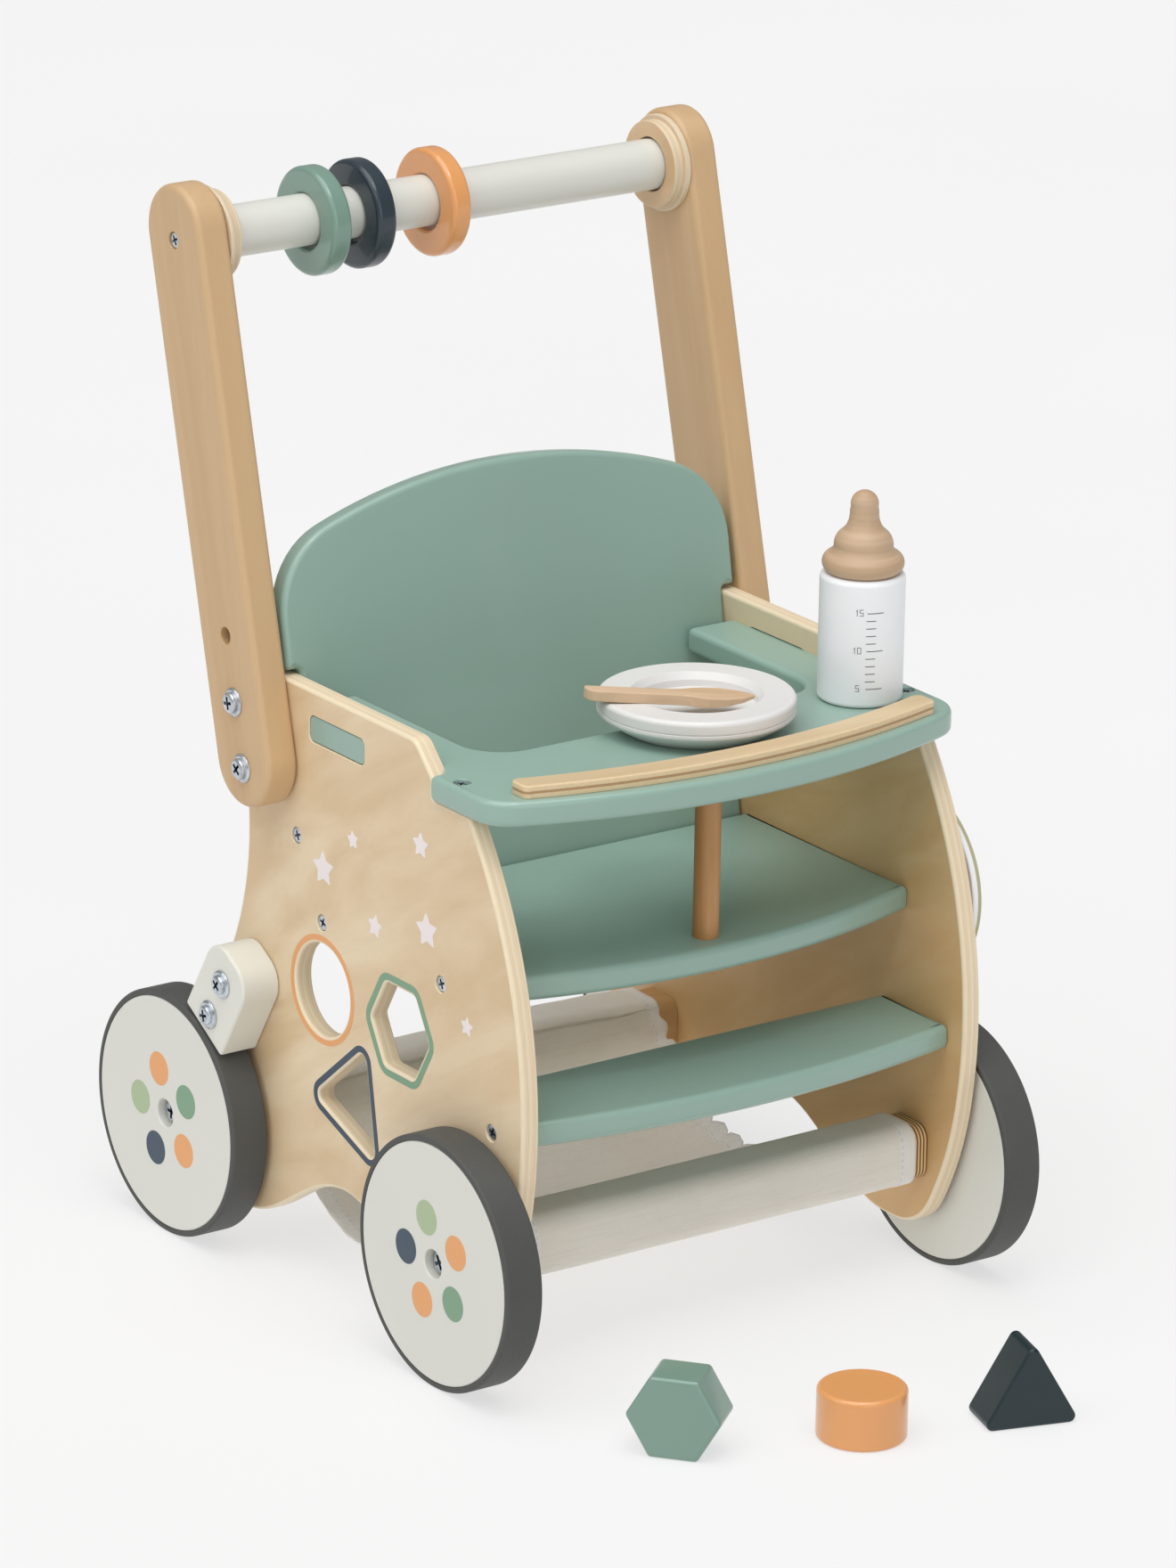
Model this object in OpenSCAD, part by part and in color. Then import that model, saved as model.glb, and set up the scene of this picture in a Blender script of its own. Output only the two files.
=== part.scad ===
// Wooden push walker for a small child, shaped as a doll's high chair on four wheels.
// +X is the walker's right, +Y the side of the pushing child, +Z up. Millimetres.

/* [Chassis] */
// Clear width between the two side panels
inner_w = 236; // [228:1:240]
// Thickness of the plywood side panels
panel_t = 9; // [8:0.5:10]
// Height of the side panels above the floor
panel_top = 287; // [284:1:290]
// Thickness of the seat, footrest, tray and backrest boards
board_t = 12; // [10:0.5:12]
// Clearance between a screw and its hole
screw_gap = 0.1; // [0.05:0.05:0.3]

/* [Wheels] */
// Distance between the front and the rear axle
wheelbase = 222; // [218:1:226]
// Radius of the rubber tyre
tyre_r = 59; // [58:0.5:60]
// Thickness of the tyre on the wooden wheel
tyre_t = 3; // [2:0.5:4]
// Width of a wheel
wheel_w = 19; // [17:0.5:20]
// Gap between a wheel and its side panel
wheel_gap = 2.5; // [1.5:0.5:4]
// Running clearance of a wheel on its bush
run_gap = 0.06; // [0.03:0.01:0.1]

/* [Handle] */
// Radius of the handlebar
bar_r = 12; // [11:0.5:12.5]
// Height of the handlebar's axis above the floor
bar_z = 477.6; // [470:0.2:490]
// Distance of the handlebar's axis behind the middle of the wheelbase
bar_y = 111.4; // [108:0.2:118]
// Width of a handle arm
arm_w = 44; // [40:1:46]
// Thickness of a handle arm
arm_t = 16.5; // [13:0.5:18]
// Outer radius of the sliding rings
ring_r = 25.3; // [24:0.1:27]
// Width of a sliding ring
ring_w = 10.5; // [9:0.5:11]

/* [Seat] */
// Height of the top of the seat board
seat_z = 184.6; // [182:0.2:187]
// Height of the top of the footrest board
foot_z = 127.2; // [124:0.2:130]
// Height of the top of the tray
tray_z = 275; // [274:0.5:276]
// Lean of the backrest from vertical, in degrees
back_lean = 10.5; // [9:0.1:12]

/* [Shape sorter] */
// Radius of the round posting hole
round_hole_r = 22; // [21:0.1:24]
// Centre-to-corner radius of the hexagonal posting hole
hex_hole_r = 22.9; // [22:0.1:24.5]
// Side of the triangular posting hole, between its sharp corners
tri_hole_side = 53; // [50:0.1:54]
// Depth of the three posting blocks
block_d = 24; // [20:1:30]

/* [Hidden] */
$fn = 64;

ply = [0.87, 0.78, 0.62];
beech = [0.77, 0.60, 0.42];
cream = [0.88, 0.87, 0.83];
sage = [0.53, 0.66, 0.60];
navy = [0.18, 0.24, 0.29];
orange = [0.88, 0.62, 0.38];
steel = [0.72, 0.74, 0.76];
rubber = [0.32, 0.33, 0.31];
cloth = [0.84, 0.80, 0.75];
white = [0.90, 0.90, 0.90];

// The model is drawn about the middle of the wheelbase, then moved so that
// the origin is under the middle of the whole set's box, blocks included.
base_shift = 64.93;

// Planes across the walker, as distances from its middle plane
panel_in = inner_w / 2;
panel_out = panel_in + panel_t;
arm_out = panel_out + arm_t;
wheel_in = panel_out + wheel_gap;
wheel_out = wheel_in + wheel_w;
collar_t = 7.5;
axle_y = wheelbase / 2;
axle_z = tyre_r;
disc_r = tyre_r - tyre_t;

// Side panel outline: front arcs, each tangent to the next
front_arc_c = [79.5, 127];
front_arc_r = 228.3;
low_arc_r = 166.6;
foot_r = 30;
front_turn = 190;
foot_turn = 209;
low_arc_c = front_arc_c + (front_arc_r - low_arc_r) * [cos(front_turn), sin(front_turn)];
foot_c = low_arc_c + (low_arc_r - foot_r) * [cos(foot_turn), sin(foot_turn)];
step_z = tray_z - board_t;
step_turn = 180 - asin((step_z - front_arc_c[1]) / front_arc_r);
floor_gap = foot_c[1] - foot_r;
// Arch between the feet, and the concave back edge above the rear wheel
arch_y = -8;
arch_half = 84;
arch_h = 34.5;
back_arc_c = [215.8, 207.3];
back_arc_r = 142;
heel_turn = 228;
heel_r = 16;
heel_c = back_arc_c + (back_arc_r + heel_r) * [cos(heel_turn), sin(heel_turn)];
rear_foot_c = [101, foot_c[1]];
heel_step = rear_foot_c - heel_c;
heel_tangent = atan2(heel_step[1], heel_step[0]) + acos((heel_r - foot_r) / norm(heel_step));
// Armrest end in front of the step, and the back top corner
armrest_corner = [-57, panel_top - 10];
armrest_fall_y = -75.5;
top_back = [84, panel_top];

// Backrest foot on the seat, and the shoulders over the panels
back_foot_y = 24.4;
shoulder_s = 106.6;
shoulder_w = 250;
back_top_s = 185.5;
back_arc = 290;
back_corner_r = 42;

// Seat, footrest and tray fronts are arcs: the apex and the fall over half a width
seat_apex_y = -124.5;
seat_fall = 20.8;
seat_rear_y = 20.7;
foot_apex_y = -151;
foot_fall = 14;
foot_rear_y = -87.3;
tray_w = 259;
tray_apex_y = -150.5;
tray_fall = 19;
tray_fall_x = 110;
tray_corner_r = 20;
tray_rear_y = 37.5;
wing_rear_y = -76;
cutout_half = 92.5;
cutout_front_y = -68;
cutout_corner_r = 20;
slot_y = [-21.3, 23.5];
slot_z = [262.6, 275.4];
slot_corner_r = 3.5;
tab_gap = 0.4;
rail_apex_y = -144;
rail_d = 13;
rail_h = 6;
rail_half = 113;
rail_fall = 16.5;
post_y = -108.5;
post_r = 6;
post_seat_depth = 8;
post_tray_depth = 6;

// Handle arms: the bolt nearest the floor, and the pitch of the three holes
low_bolt = [53, 244];
hole_pitch = 30.4;
// The round ends are centred this far up the arm from the lowest bolt and from the bar
arm_shift = 3.5;
arm_vec = [bar_y, bar_z] - low_bolt;
arm_dir = arm_vec / norm(arm_vec);
bolt_points = [low_bolt, low_bolt + hole_pitch * arm_dir];
spare_point = low_bolt + 2 * hole_pitch * arm_dir;
spare_r = 4;
collar_r = 23;
collar_gap = 0.9;
ring_bore_r = 13;
ring_drop = ring_bore_r - bar_r - 0.05;

// Crossbars carry the cloth basket between the panels
crossbar = 27;
crossbar_corner_r = 7;
front_bar = [-axle_y, axle_z + 0.7];
rear_bar = [86, 60.5];
cloth_t = 1;
cloth_half = 110;
cloth_gap = 0.25;
sag_z = 21.5;
sag_y = 5;
sag_top = 10;
sag_power = 2.3;

// Fixings
bolt_r = 3;
bush_r = 5;
hub_recess_r = 6.7;
hub_recess_d = 7;
bolt_head_r = 5.7;
bolt_head_t = 3;
screw_r = 2;
screw_head_r = 3.9;
screw_head_t = 2;
screw_sunk = 2.6;
washer_r = 6.7;
washer_t = 1.4;
nut_flange_r = 5;
nut_flange_t = 1.5;
nut_barrel_r = 4;
nut_barrel_l = 6;
panel_screw_points = [[33.6, 214.4], [12.4, 178.6], [-83.2, 178.6], [-124.2, 121.2], rear_bar];
panel_screw_l = 34;
tray_screw_point = [122.5, -92];
tray_screw_l = 30;

// Brake blocks stand radially on the rear tyres
brake_turn = 120.75;
brake_w = 34.2;
brake_l = 47.5;
brake_out = 147;
brake_gap = 0.1;
brake_travel = 3;
brake_screw_s = [10.5, 31.5];
brake_screw_r = 2.5;
brake_slot_gap = 0.15;

// Activity disc on the right panel
spin_c = [-91.5, 181.3];
spin_r = 45.4;
spin_t = 5;
spin_gap = 3.5;
spin_bush_r = 5;

// Play set on the tray and on the floor
bottle_c = [98.6, -88.5];
bottle_r = 19.6;
bottle_h = 59.7;
plate_c = [10.7, -83.3];
plate_r = 45;
plate_h = 16;
knife_l = 77.5;
knife_t = 5;
knife_turn = -31;
knife_tip = [26.3, -107.2];
knife_tilt = 3.1;
knife_sunk = 2.75;
lift_gap = 0.05;
sort_round = [11.4, 146.6];
sort_hex = [-51.5, 146.6];
sort_tri = [-12.9, 99.7];
tri_turn = -10;
hole_corner_r = 3.5;
cyl_r = 20.4;
hex_r = 22;
tri_side = 46.6;
tri_corner_r = 3;
hex_place = [-97.4, -229.2, 39.5];
cyl_place = [-20.2, -259.8];
tri_place = [52, -282.5, -16.5];

// ---- helpers ----

// Points of a circular arc from angle a to angle b
function arc(c, r, a, b, n = 16) =
  [for (i = [0:n]) c + r * [cos(a + (b - a) * i / n), sin(a + (b - a) * i / n)]];

// Radius of an arc that falls by f over a half chord h
function fall_r(h, f) = (h * h + f * f) / (2 * f);

// Points of a front edge that bows to apex y at x = 0, from x = -h to x = h
function bow(apex, h, f, n = 24) =
  let (r = fall_r(h, f), w = asin(h / r)) arc([0, apex + r], r, 270 - w, 270 + w, n);

module placed() { translate([0, base_shift, 0]) children(); }

// Extrudes a (y, z) drawing from x0 over a thickness t
module across(x0, t) { translate([x0, 0, 0]) rotate([90, 0, 90]) linear_extrude(t) children(); }

// A rod along X from x0, over length l, at a (y, z) point
module rod(x0, l, p, r) { translate([x0, p[0], p[1]]) rotate([0, 90, 0]) cylinder(r = r, h = l); }

module mirrored(side) { mirror([side < 0 ? 1 : 0, 0, 0]) children(); }

module both_sides() { for (side = [-1, 1]) mirrored(side) children(); }

// Square of the given size with round corners, centred on c
module soft_square(c, size, r) {
  translate(c) {
    square([size[0] - 2 * r, size[1]], center = true);
    square([size[0], size[1] - 2 * r], center = true);
    for (x = [-1, 1], y = [-1, 1])
      translate([x * (size[0] / 2 - r), y * (size[1] / 2 - r)]) circle(r);
  }
}

// Regular polygon of n sides with round corners
module soft_ngon(n, r, corner, turn) {
  inset = corner / cos(180 / n);
  pts = [for (i = [0:n - 1]) (r - inset) * [cos(turn + 360 * i / n), sin(turn + 360 * i / n)]];
  polygon([for (i = [0:n - 1]) each
    arc(pts[i], corner, turn + 360 * (i - 0.5) / n, turn + 360 * (i + 0.5) / n, 6)]);
}

// ---- side panels ----

function panel_outline() = concat(
  arc(front_arc_c, front_arc_r, step_turn, front_turn, 20),
  arc(low_arc_c, low_arc_r, front_turn, foot_turn, 8),
  arc(foot_c, foot_r, foot_turn, 270, 10),
  [for (i = [0:28]) let (t = i / 28, y = arch_y - arch_half + 2 * arch_half * t)
    [y, floor_gap + arch_h * (1 - cos(360 * t)) / 2]],
  arc(rear_foot_c, foot_r, 270, 360 + heel_tangent, 12),
  arc(heel_c, heel_r, heel_tangent, heel_turn - 180, 6),
  arc(back_arc_c, back_arc_r, heel_turn, 176.5, 16),
  arc(top_back - [8, 8], 8, 0, 90, 6),
  arc(armrest_corner, 10, 90, 140, 6),
  [[armrest_fall_y, tray_z - 2.5], [armrest_fall_y, step_z]]);

module panel_shape() {
  difference() {
    polygon(panel_outline());
    soft_square([(slot_y[0] + slot_y[1]) / 2, (slot_z[0] + slot_z[1]) / 2],
      [slot_y[1] - slot_y[0], slot_z[1] - slot_z[0]], slot_corner_r);
  }
}

module panel_bores() {
  reach = panel_t + 2;
  for (p = bolt_points) rod(panel_in - 1, reach, p, nut_barrel_r + screw_gap);
  rod(panel_in - 1, reach, [-axle_y, axle_z], bolt_r + screw_gap);
  rod(panel_in - 1, reach, [axle_y, axle_z], nut_barrel_r + screw_gap);
  for (p = panel_screw_points) {
    rod(panel_in - 1, reach, p, screw_r + screw_gap);
    rod(panel_out - screw_sunk, reach, p, screw_head_r + screw_gap);
  }
  for (s = brake_screw_s) rod(panel_out - 6, reach, brake_point(s), brake_screw_r + screw_gap);
}

module tray_screw_bore() {
  translate([tray_screw_point[0], tray_screw_point[1], tray_z - tray_screw_l - 2])
    cylinder(r = screw_r + screw_gap, h = tray_screw_l);
}

module side_panel_left() {
  color(ply) placed() mirrored(-1) difference() {
    across(panel_in, panel_t) difference() {
      panel_shape();
      translate(sort_round) circle(round_hole_r);
      translate(sort_hex) soft_ngon(6, hex_hole_r, hole_corner_r, 0);
      translate(sort_tri) soft_ngon(3, tri_hole_side / sqrt(3), hole_corner_r, tri_turn);
    }
    panel_bores();
    tray_screw_bore();
  }
}

module side_panel_right() {
  color(ply) placed() difference() {
    across(panel_in, panel_t) panel_shape();
    panel_bores();
    tray_screw_bore();
    rod(panel_in + 2, panel_t, spin_c, screw_r + screw_gap);
  }
}

// ---- boards between the panels ----

module board_bores(points) {
  both_sides() for (p = points) rod(panel_in - panel_screw_l, panel_screw_l + 1, p, screw_r + screw_gap);
}

module backrest_shape() {
  h = shoulder_w / 2;
  r = back_corner_r;
  top_c = back_top_s - back_arc;
  turn = acos((h - r) / (back_arc - r));
  side_c = [h - r, top_c + (back_arc - r) * sin(turn)];
  low_s = -board_t / cos(back_lean);
  polygon(concat(
    [[-panel_in, low_s], [panel_in, low_s], [panel_in, shoulder_s], [h, shoulder_s]],
    arc(side_c, r, 0, turn, 10),
    arc([0, top_c], back_arc, turn, 180 - turn, 24),
    arc([-side_c[0], side_c[1]], r, 180 - turn, 180, 10),
    [[-h, shoulder_s], [-panel_in, shoulder_s]]));
}

module backrest() {
  color(sage) placed() difference() {
    translate([0, back_foot_y, seat_z]) rotate([90 - back_lean, 0, 0])
      mirror([0, 0, 1]) linear_extrude(board_t) backrest_shape();
    translate([-panel_in - 1, 0, 0]) cube([inner_w + 2, 2 * back_foot_y, seat_z - board_t]);
    board_bores([panel_screw_points[0]]);
  }
}

module bowed_board(apex, fall, rear, top) {
  translate([0, 0, top - board_t]) linear_extrude(board_t)
    polygon(concat(bow(apex, panel_in, fall), [[panel_in, rear], [-panel_in, rear]]));
}

module seat_board() {
  color(sage) placed() difference() {
    bowed_board(seat_apex_y, seat_fall, seat_rear_y, seat_z);
    board_bores([panel_screw_points[1], panel_screw_points[2]]);
    translate([0, post_y, seat_z - post_seat_depth]) cylinder(r = post_r + screw_gap, h = board_t);
  }
}

module footrest_board() {
  color(sage) placed() difference() {
    bowed_board(foot_apex_y, foot_fall, foot_rear_y, foot_z);
    board_bores([panel_screw_points[3]]);
  }
}

// ---- tray ----

// Right half of the tray's outline, from the front's middle round to the cut-out's middle
function tray_half() =
  let (
    h = tray_w / 2,
    r = fall_r(tray_fall_x, tray_fall),
    front_c = [0, tray_apex_y + r],
    reach = r - tray_corner_r,
    turn = acos((h - tray_corner_r) / reach),
    corner_c = front_c + reach * [cos(turn), -sin(turn)],
    cut_c = [cutout_half - cutout_corner_r, cutout_front_y + cutout_corner_r],
    tail_r = 3,
    tab_x = panel_in - tab_gap)
  concat(
    arc(front_c, r, 270, 360 - turn, 16),
    arc(corner_c, tray_corner_r, -turn, 0, 8),
    [[h, wing_rear_y], [tab_x, wing_rear_y]],
    [[tab_x, slot_y[0] + tab_gap], [panel_out, slot_y[0] + tab_gap]],
    [[panel_out, slot_y[1] - tab_gap], [tab_x, slot_y[1] - tab_gap], [tab_x, tray_rear_y]],
    arc([cutout_half + tail_r, tray_rear_y - tail_r], tail_r, 90, 180, 5),
    arc(cut_c, cutout_corner_r, 0, -90, 8));

// What is cut from the tray's end so that it suits the round corners of a panel's slot
module tab_trim() {
  middle = [(slot_y[0] + slot_y[1]) / 2, step_z + board_t / 2];
  size = [slot_y[1] - slot_y[0] - 2 * tab_gap, board_t];
  across(panel_in - tab_gap, panel_t + 1) difference() {
    translate(middle) square(size + [2, 2], center = true);
    soft_square(middle, size, slot_corner_r - tab_gap);
  }
}

module tray() {
  half = tray_half();
  outline = concat(half, [for (i = [len(half) - 1:-1:1]) [-half[i][0], half[i][1]]]);
  color(sage) placed() difference() {
    translate([0, 0, step_z]) linear_extrude(board_t) polygon(outline);
    translate([0, post_y, step_z - 1]) cylinder(r = post_r + screw_gap, h = post_tray_depth + 1);
    both_sides() {
      tab_trim();
      tray_screw_bore();
      translate([tray_screw_point[0], tray_screw_point[1], tray_z - screw_sunk])
        cylinder(r = screw_head_r + screw_gap, h = screw_sunk + 1);
    }
  }
}

module tray_rail() {
  end_r = 4;
  far = bow(rail_apex_y, rail_half - end_r, rail_fall);
  near = [for (i = [len(far) - 1:-1:0]) far[i] + [0, rail_d]];
  color(beech) placed() translate([0, 0, tray_z]) linear_extrude(rail_h) {
    polygon(concat(far, near));
    for (end = [far[0], far[len(far) - 1]])
      translate(end + [0, rail_d / 2]) soft_square([0, 0], [2 * end_r, rail_d], end_r - 0.5);
  }
}

module crotch_post() {
  low = seat_z - post_seat_depth;
  color(beech) placed() translate([0, post_y, low]) cylinder(r = post_r, h = step_z + post_tray_depth - low);
}

// ---- crossbars and cloth basket ----

module crossbar_shape(p, grow = 0) {
  side = crossbar + 2 * grow;
  soft_square(p, [side, side], crossbar_corner_r + grow);
}

module front_crossbar() {
  color(ply) placed() difference() {
    across(-panel_in, inner_w) crossbar_shape(front_bar);
    both_sides() rod(panel_in - 20, 21, [-axle_y, axle_z], bush_r);
  }
}

module rear_crossbar() {
  color(ply) placed() difference() {
    across(-panel_in, inner_w) crossbar_shape(rear_bar);
    board_bores([rear_bar]);
  }
}

// Height of the hanging cloth at a depth y between the two bars' inner faces
function sag(y, near, far) =
  sag_z + (axle_z + sag_top - sag_z) * pow((y - sag_y) / ((y < sag_y ? near : far) - sag_y), sag_power);

module basket_sling() {
  near = front_bar[0] + crossbar / 2 - 1;
  far = rear_bar[0] - crossbar / 2 + 1;
  ys = [for (i = [0:28]) near + (far - near) * i / 28];
  hang = [for (y = ys) [y, sag(y, near, far)]];
  color(cloth) placed() difference() {
    union() {
      for (p = [front_bar, rear_bar])
        across(-cloth_half, 2 * cloth_half) crossbar_shape(p, cloth_gap + cloth_t);
      across(-cloth_half, 2 * cloth_half)
        polygon(concat(hang, [for (i = [len(hang) - 1:-1:0]) hang[i] - [0, 2 * cloth_t]]));
    }
    for (p = [front_bar, rear_bar])
      across(-cloth_half - 1, 2 * cloth_half + 2) crossbar_shape(p, cloth_gap);
  }
}

// ---- handle ----

module arm_shape() {
  low = low_bolt + arm_shift * arm_dir;
  top = [bar_y, bar_z] + arm_shift * arm_dir;
  side = arm_w / 2 * [arm_dir[1], -arm_dir[0]];
  polygon([low + side, top + side, top - side, low - side]);
  for (end = [top, low]) translate(end) circle(arm_w / 2);
}

module handle_arm() {
  difference() {
    across(panel_out, arm_t) arm_shape();
    for (p = bolt_points) rod(panel_out - 1, arm_t + 2, p, bolt_r + screw_gap);
    rod(panel_out - 1, arm_t + 2, spare_point, spare_r);
    rod(panel_out - 1, arm_t + 2, [bar_y, bar_z], screw_r + screw_gap);
    rod(arm_out - 4, 5, [bar_y, bar_z], screw_head_r + screw_gap);
  }
}

module handle_arm_left() { color(beech) placed() mirrored(-1) handle_arm(); }

module handle_arm_right() { color(beech) placed() handle_arm(); }

module handlebar() {
  color(cream) placed() difference() {
    rod(-panel_out, 2 * panel_out, [bar_y, bar_z], bar_r);
    both_sides() rod(panel_out - 31, 32, [bar_y, bar_z], screw_r + screw_gap);
  }
}

module handle_collar() {
  difference() {
    rod(panel_out - collar_t, collar_t, [bar_y, bar_z], collar_r);
    rod(panel_out - collar_t - 1, collar_t + 2, [bar_y, bar_z], bar_r + collar_gap);
  }
}

module handle_collar_left() { color(ply) placed() mirrored(-1) handle_collar(); }

module handle_collar_right() { color(ply) placed() handle_collar(); }

module handle_bolts() {
  color(steel) placed() both_sides() for (p = bolt_points) {
    rod(panel_in - 1, arm_out + washer_t - panel_in + 1, p, bolt_r);
    rod(arm_out + washer_t, bolt_head_t - 0.6, p, bolt_head_r - 0.9);
  }
}

module cup_washer(x, p, hole_r) {
  difference() {
    rod(x, washer_t, p, washer_r);
    rod(x - 1, washer_t + 2, p, hole_r);
  }
}

module handle_cup_washers() {
  color(steel) placed() both_sides() for (p = bolt_points) cup_washer(arm_out, p, bolt_r + screw_gap);
}

// Nut with a flange on the inner face of a panel and a barrel in its bore
module tee_nut(p) {
  difference() {
    union() {
      rod(panel_in - nut_flange_t, nut_flange_t, p, nut_flange_r);
      rod(panel_in - 0.5, nut_barrel_l + 0.5, p, nut_barrel_r);
    }
    rod(panel_in - nut_flange_t - 1, nut_barrel_l + 4, p, bolt_r + 0.05);
  }
}

module handle_nuts() { color(steel) placed() both_sides() for (p = bolt_points) tee_nut(p); }

// Screw along X with its head at x, pointing inwards
module cross_screw(x, p, l) {
  rod(x - screw_head_t, screw_head_t, p, screw_head_r);
  rod(x - l, l - screw_head_t + 0.1, p, screw_r);
}

module handlebar_screws() {
  color(steel) placed() both_sides() cross_screw(arm_out - 2, [bar_y, bar_z], 40);
}

module panel_screws() {
  for (p = panel_screw_points) cross_screw(panel_out - screw_sunk + screw_head_t, p, panel_screw_l);
}

module panel_screws_left() { color(steel) placed() mirrored(-1) panel_screws(); }

module panel_screws_right() { color(steel) placed() panel_screws(); }

module tray_screws() {
  color(steel) placed() both_sides() translate([tray_screw_point[0], tray_screw_point[1], 0]) {
    translate([0, 0, tray_z - screw_sunk]) cylinder(r = screw_head_r, h = screw_head_t);
    translate([0, 0, tray_z - tray_screw_l]) cylinder(r = screw_r, h = tray_screw_l - screw_sunk + 0.1);
  }
}

// ---- wheels ----

module axle_bolt(y) {
  seat = wheel_out - hub_recess_d + 0.3;
  rod(seat, bolt_head_t, [y, axle_z], bolt_head_r);
  rod(panel_in - 18, seat - panel_in + 18.1, [y, axle_z], bolt_r);
}

module rear_axle_bolt(y) {
  seat = wheel_out - hub_recess_d + 0.3;
  rod(seat, bolt_head_t, [y, axle_z], bolt_head_r);
  rod(panel_in - 1, seat - panel_in + 1.1, [y, axle_z], bolt_r);
}

module axle_bolts() {
  color(steel) placed() both_sides() {
    axle_bolt(-axle_y);
    rear_axle_bolt(axle_y);
  }
}

module axle_bushes() {
  color(steel) placed() both_sides() for (y = [-axle_y, axle_y]) difference() {
    rod(panel_out, wheel_out - hub_recess_d + 0.3 - panel_out, [y, axle_z], bush_r);
    rod(panel_out - 1, wheel_w + wheel_gap, [y, axle_z], bolt_r + 0.05);
  }
}

module axle_washers() {
  color(steel) placed() both_sides() for (y = [-axle_y, axle_y]) difference() {
    rod(panel_out, wheel_gap - 0.3, [y, axle_z], 9);
    rod(panel_out - 1, wheel_gap + 2, [y, axle_z], bush_r + 0.1);
  }
}

module front_axle_inserts() {
  color(steel) placed() both_sides() difference() {
    rod(panel_in - 20, 20, [-axle_y, axle_z], bush_r - 0.05);
    rod(panel_in - 21, 22, [-axle_y, axle_z], bolt_r + 0.05);
  }
}

module rear_axle_nuts() { color(steel) placed() both_sides() tee_nut([axle_y, axle_z]); }

module wheel_disc(side, y) {
  color(cream) placed() mirrored(side) difference() {
    rod(wheel_in, wheel_w, [y, axle_z], disc_r - 0.03);
    rod(wheel_in - 1, wheel_w + 2, [y, axle_z], bush_r + run_gap);
    rod(wheel_out - hub_recess_d, hub_recess_d + 1, [y, axle_z], hub_recess_r);
  }
}

module tyre(side, y) {
  shoulder = 1.2;
  half = wheel_w / 2;
  color(rubber) placed() mirrored(side) translate([wheel_in + half, y, axle_z]) rotate([0, 90, 0])
    rotate_extrude($fn = 128) polygon([
      [disc_r, -half], [tyre_r - shoulder, -half], [tyre_r, shoulder - half],
      [tyre_r, half - shoulder], [tyre_r - shoulder, half], [disc_r, half]]);
}

module wheel_disc_front_left() { wheel_disc(-1, -axle_y); }
module wheel_disc_front_right() { wheel_disc(1, -axle_y); }
module wheel_disc_rear_left() { wheel_disc(-1, axle_y); }
module wheel_disc_rear_right() { wheel_disc(1, axle_y); }
module tyre_front_left() { tyre(-1, -axle_y); }
module tyre_front_right() { tyre(1, -axle_y); }
module tyre_rear_left() { tyre(-1, axle_y); }
module tyre_rear_right() { tyre(1, axle_y); }

// ---- brakes ----

// Point on the brake's centre line, s above the tyre
function brake_point(s) = [axle_y, axle_z] + (tyre_r + brake_gap + s) * [cos(brake_turn), sin(brake_turn)];

module brake_block(side) {
  top_r = 13;
  color(cream) placed() mirrored(side) difference() {
    across(panel_out + brake_gap, brake_out - panel_out - brake_gap)
      translate(brake_point(0)) rotate(brake_turn - 90) {
        translate([-brake_w / 2, 0]) square([brake_w, brake_l / 2]);
        soft_square([0, brake_l / 2], [brake_w, brake_l], top_r);
      }
    for (s = brake_screw_s, d = [0, -brake_travel])
      rod(panel_out - 1, 30, brake_point(s + d), brake_screw_r + brake_slot_gap);
    for (s = brake_screw_s) translate([panel_out - 1, brake_point(s)[0], brake_point(s)[1]])
      rotate([brake_turn - 90, 0, 0]) translate([0, -brake_screw_r - brake_slot_gap, -brake_travel])
        cube([30, 2 * (brake_screw_r + brake_slot_gap), brake_travel]);
  }
}

module brake_block_left() { brake_block(-1); }
module brake_block_right() { brake_block(1); }

module brake_screws() {
  color(steel) placed() both_sides() for (s = brake_screw_s) {
    rod(panel_out - 6, brake_out + washer_t - panel_out + 6.2, brake_point(s), brake_screw_r);
    rod(brake_out + washer_t + 0.1, 1.4, brake_point(s), bolt_head_r - 1.2);
  }
}

module brake_cup_washers() {
  color(steel) placed() both_sides() for (s = brake_screw_s)
    cup_washer(brake_out + 0.1, brake_point(s), brake_screw_r + 0.05);
}

// ---- sliding rings on the handlebar ----

module ring(x, paint) {
  color(paint) placed() difference() {
    rod(x - ring_w / 2, ring_w, [bar_y, bar_z - ring_drop], ring_r);
    rod(x - ring_w, 2 * ring_w, [bar_y, bar_z - ring_drop], ring_bore_r);
  }
}

module ring_green() { ring(-68.1, sage); }
module ring_navy() { ring(-43.8, navy); }
module ring_orange() { ring(-2.7, orange); }

// ---- activity disc ----

module activity_disc() {
  color(white) placed() difference() {
    rod(panel_out + spin_gap, spin_t, spin_c, spin_r);
    rod(panel_out + spin_gap - 1, spin_t + 2, spin_c, spin_bush_r + run_gap);
  }
}

module activity_disc_screw() {
  end = panel_out + spin_gap + spin_t + 0.3;
  color(steel) placed() {
    rod(panel_in + 3, end - panel_in - 2.9, spin_c, screw_r);
    rod(end, 2.5, spin_c, bolt_head_r + 1.5);
  }
}

module activity_disc_spacer() {
  color(beech) placed() difference() {
    union() {
      rod(panel_out, spin_gap - 0.3, spin_c, 9);
      rod(panel_out, spin_gap + spin_t + 0.3, spin_c, spin_bush_r);
    }
    rod(panel_out - 1, 20, spin_c, screw_r + screw_gap);
  }
}

// ---- play set ----

module turned(c, z) { placed() translate([c[0], c[1], z]) rotate_extrude() children(); }

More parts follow.
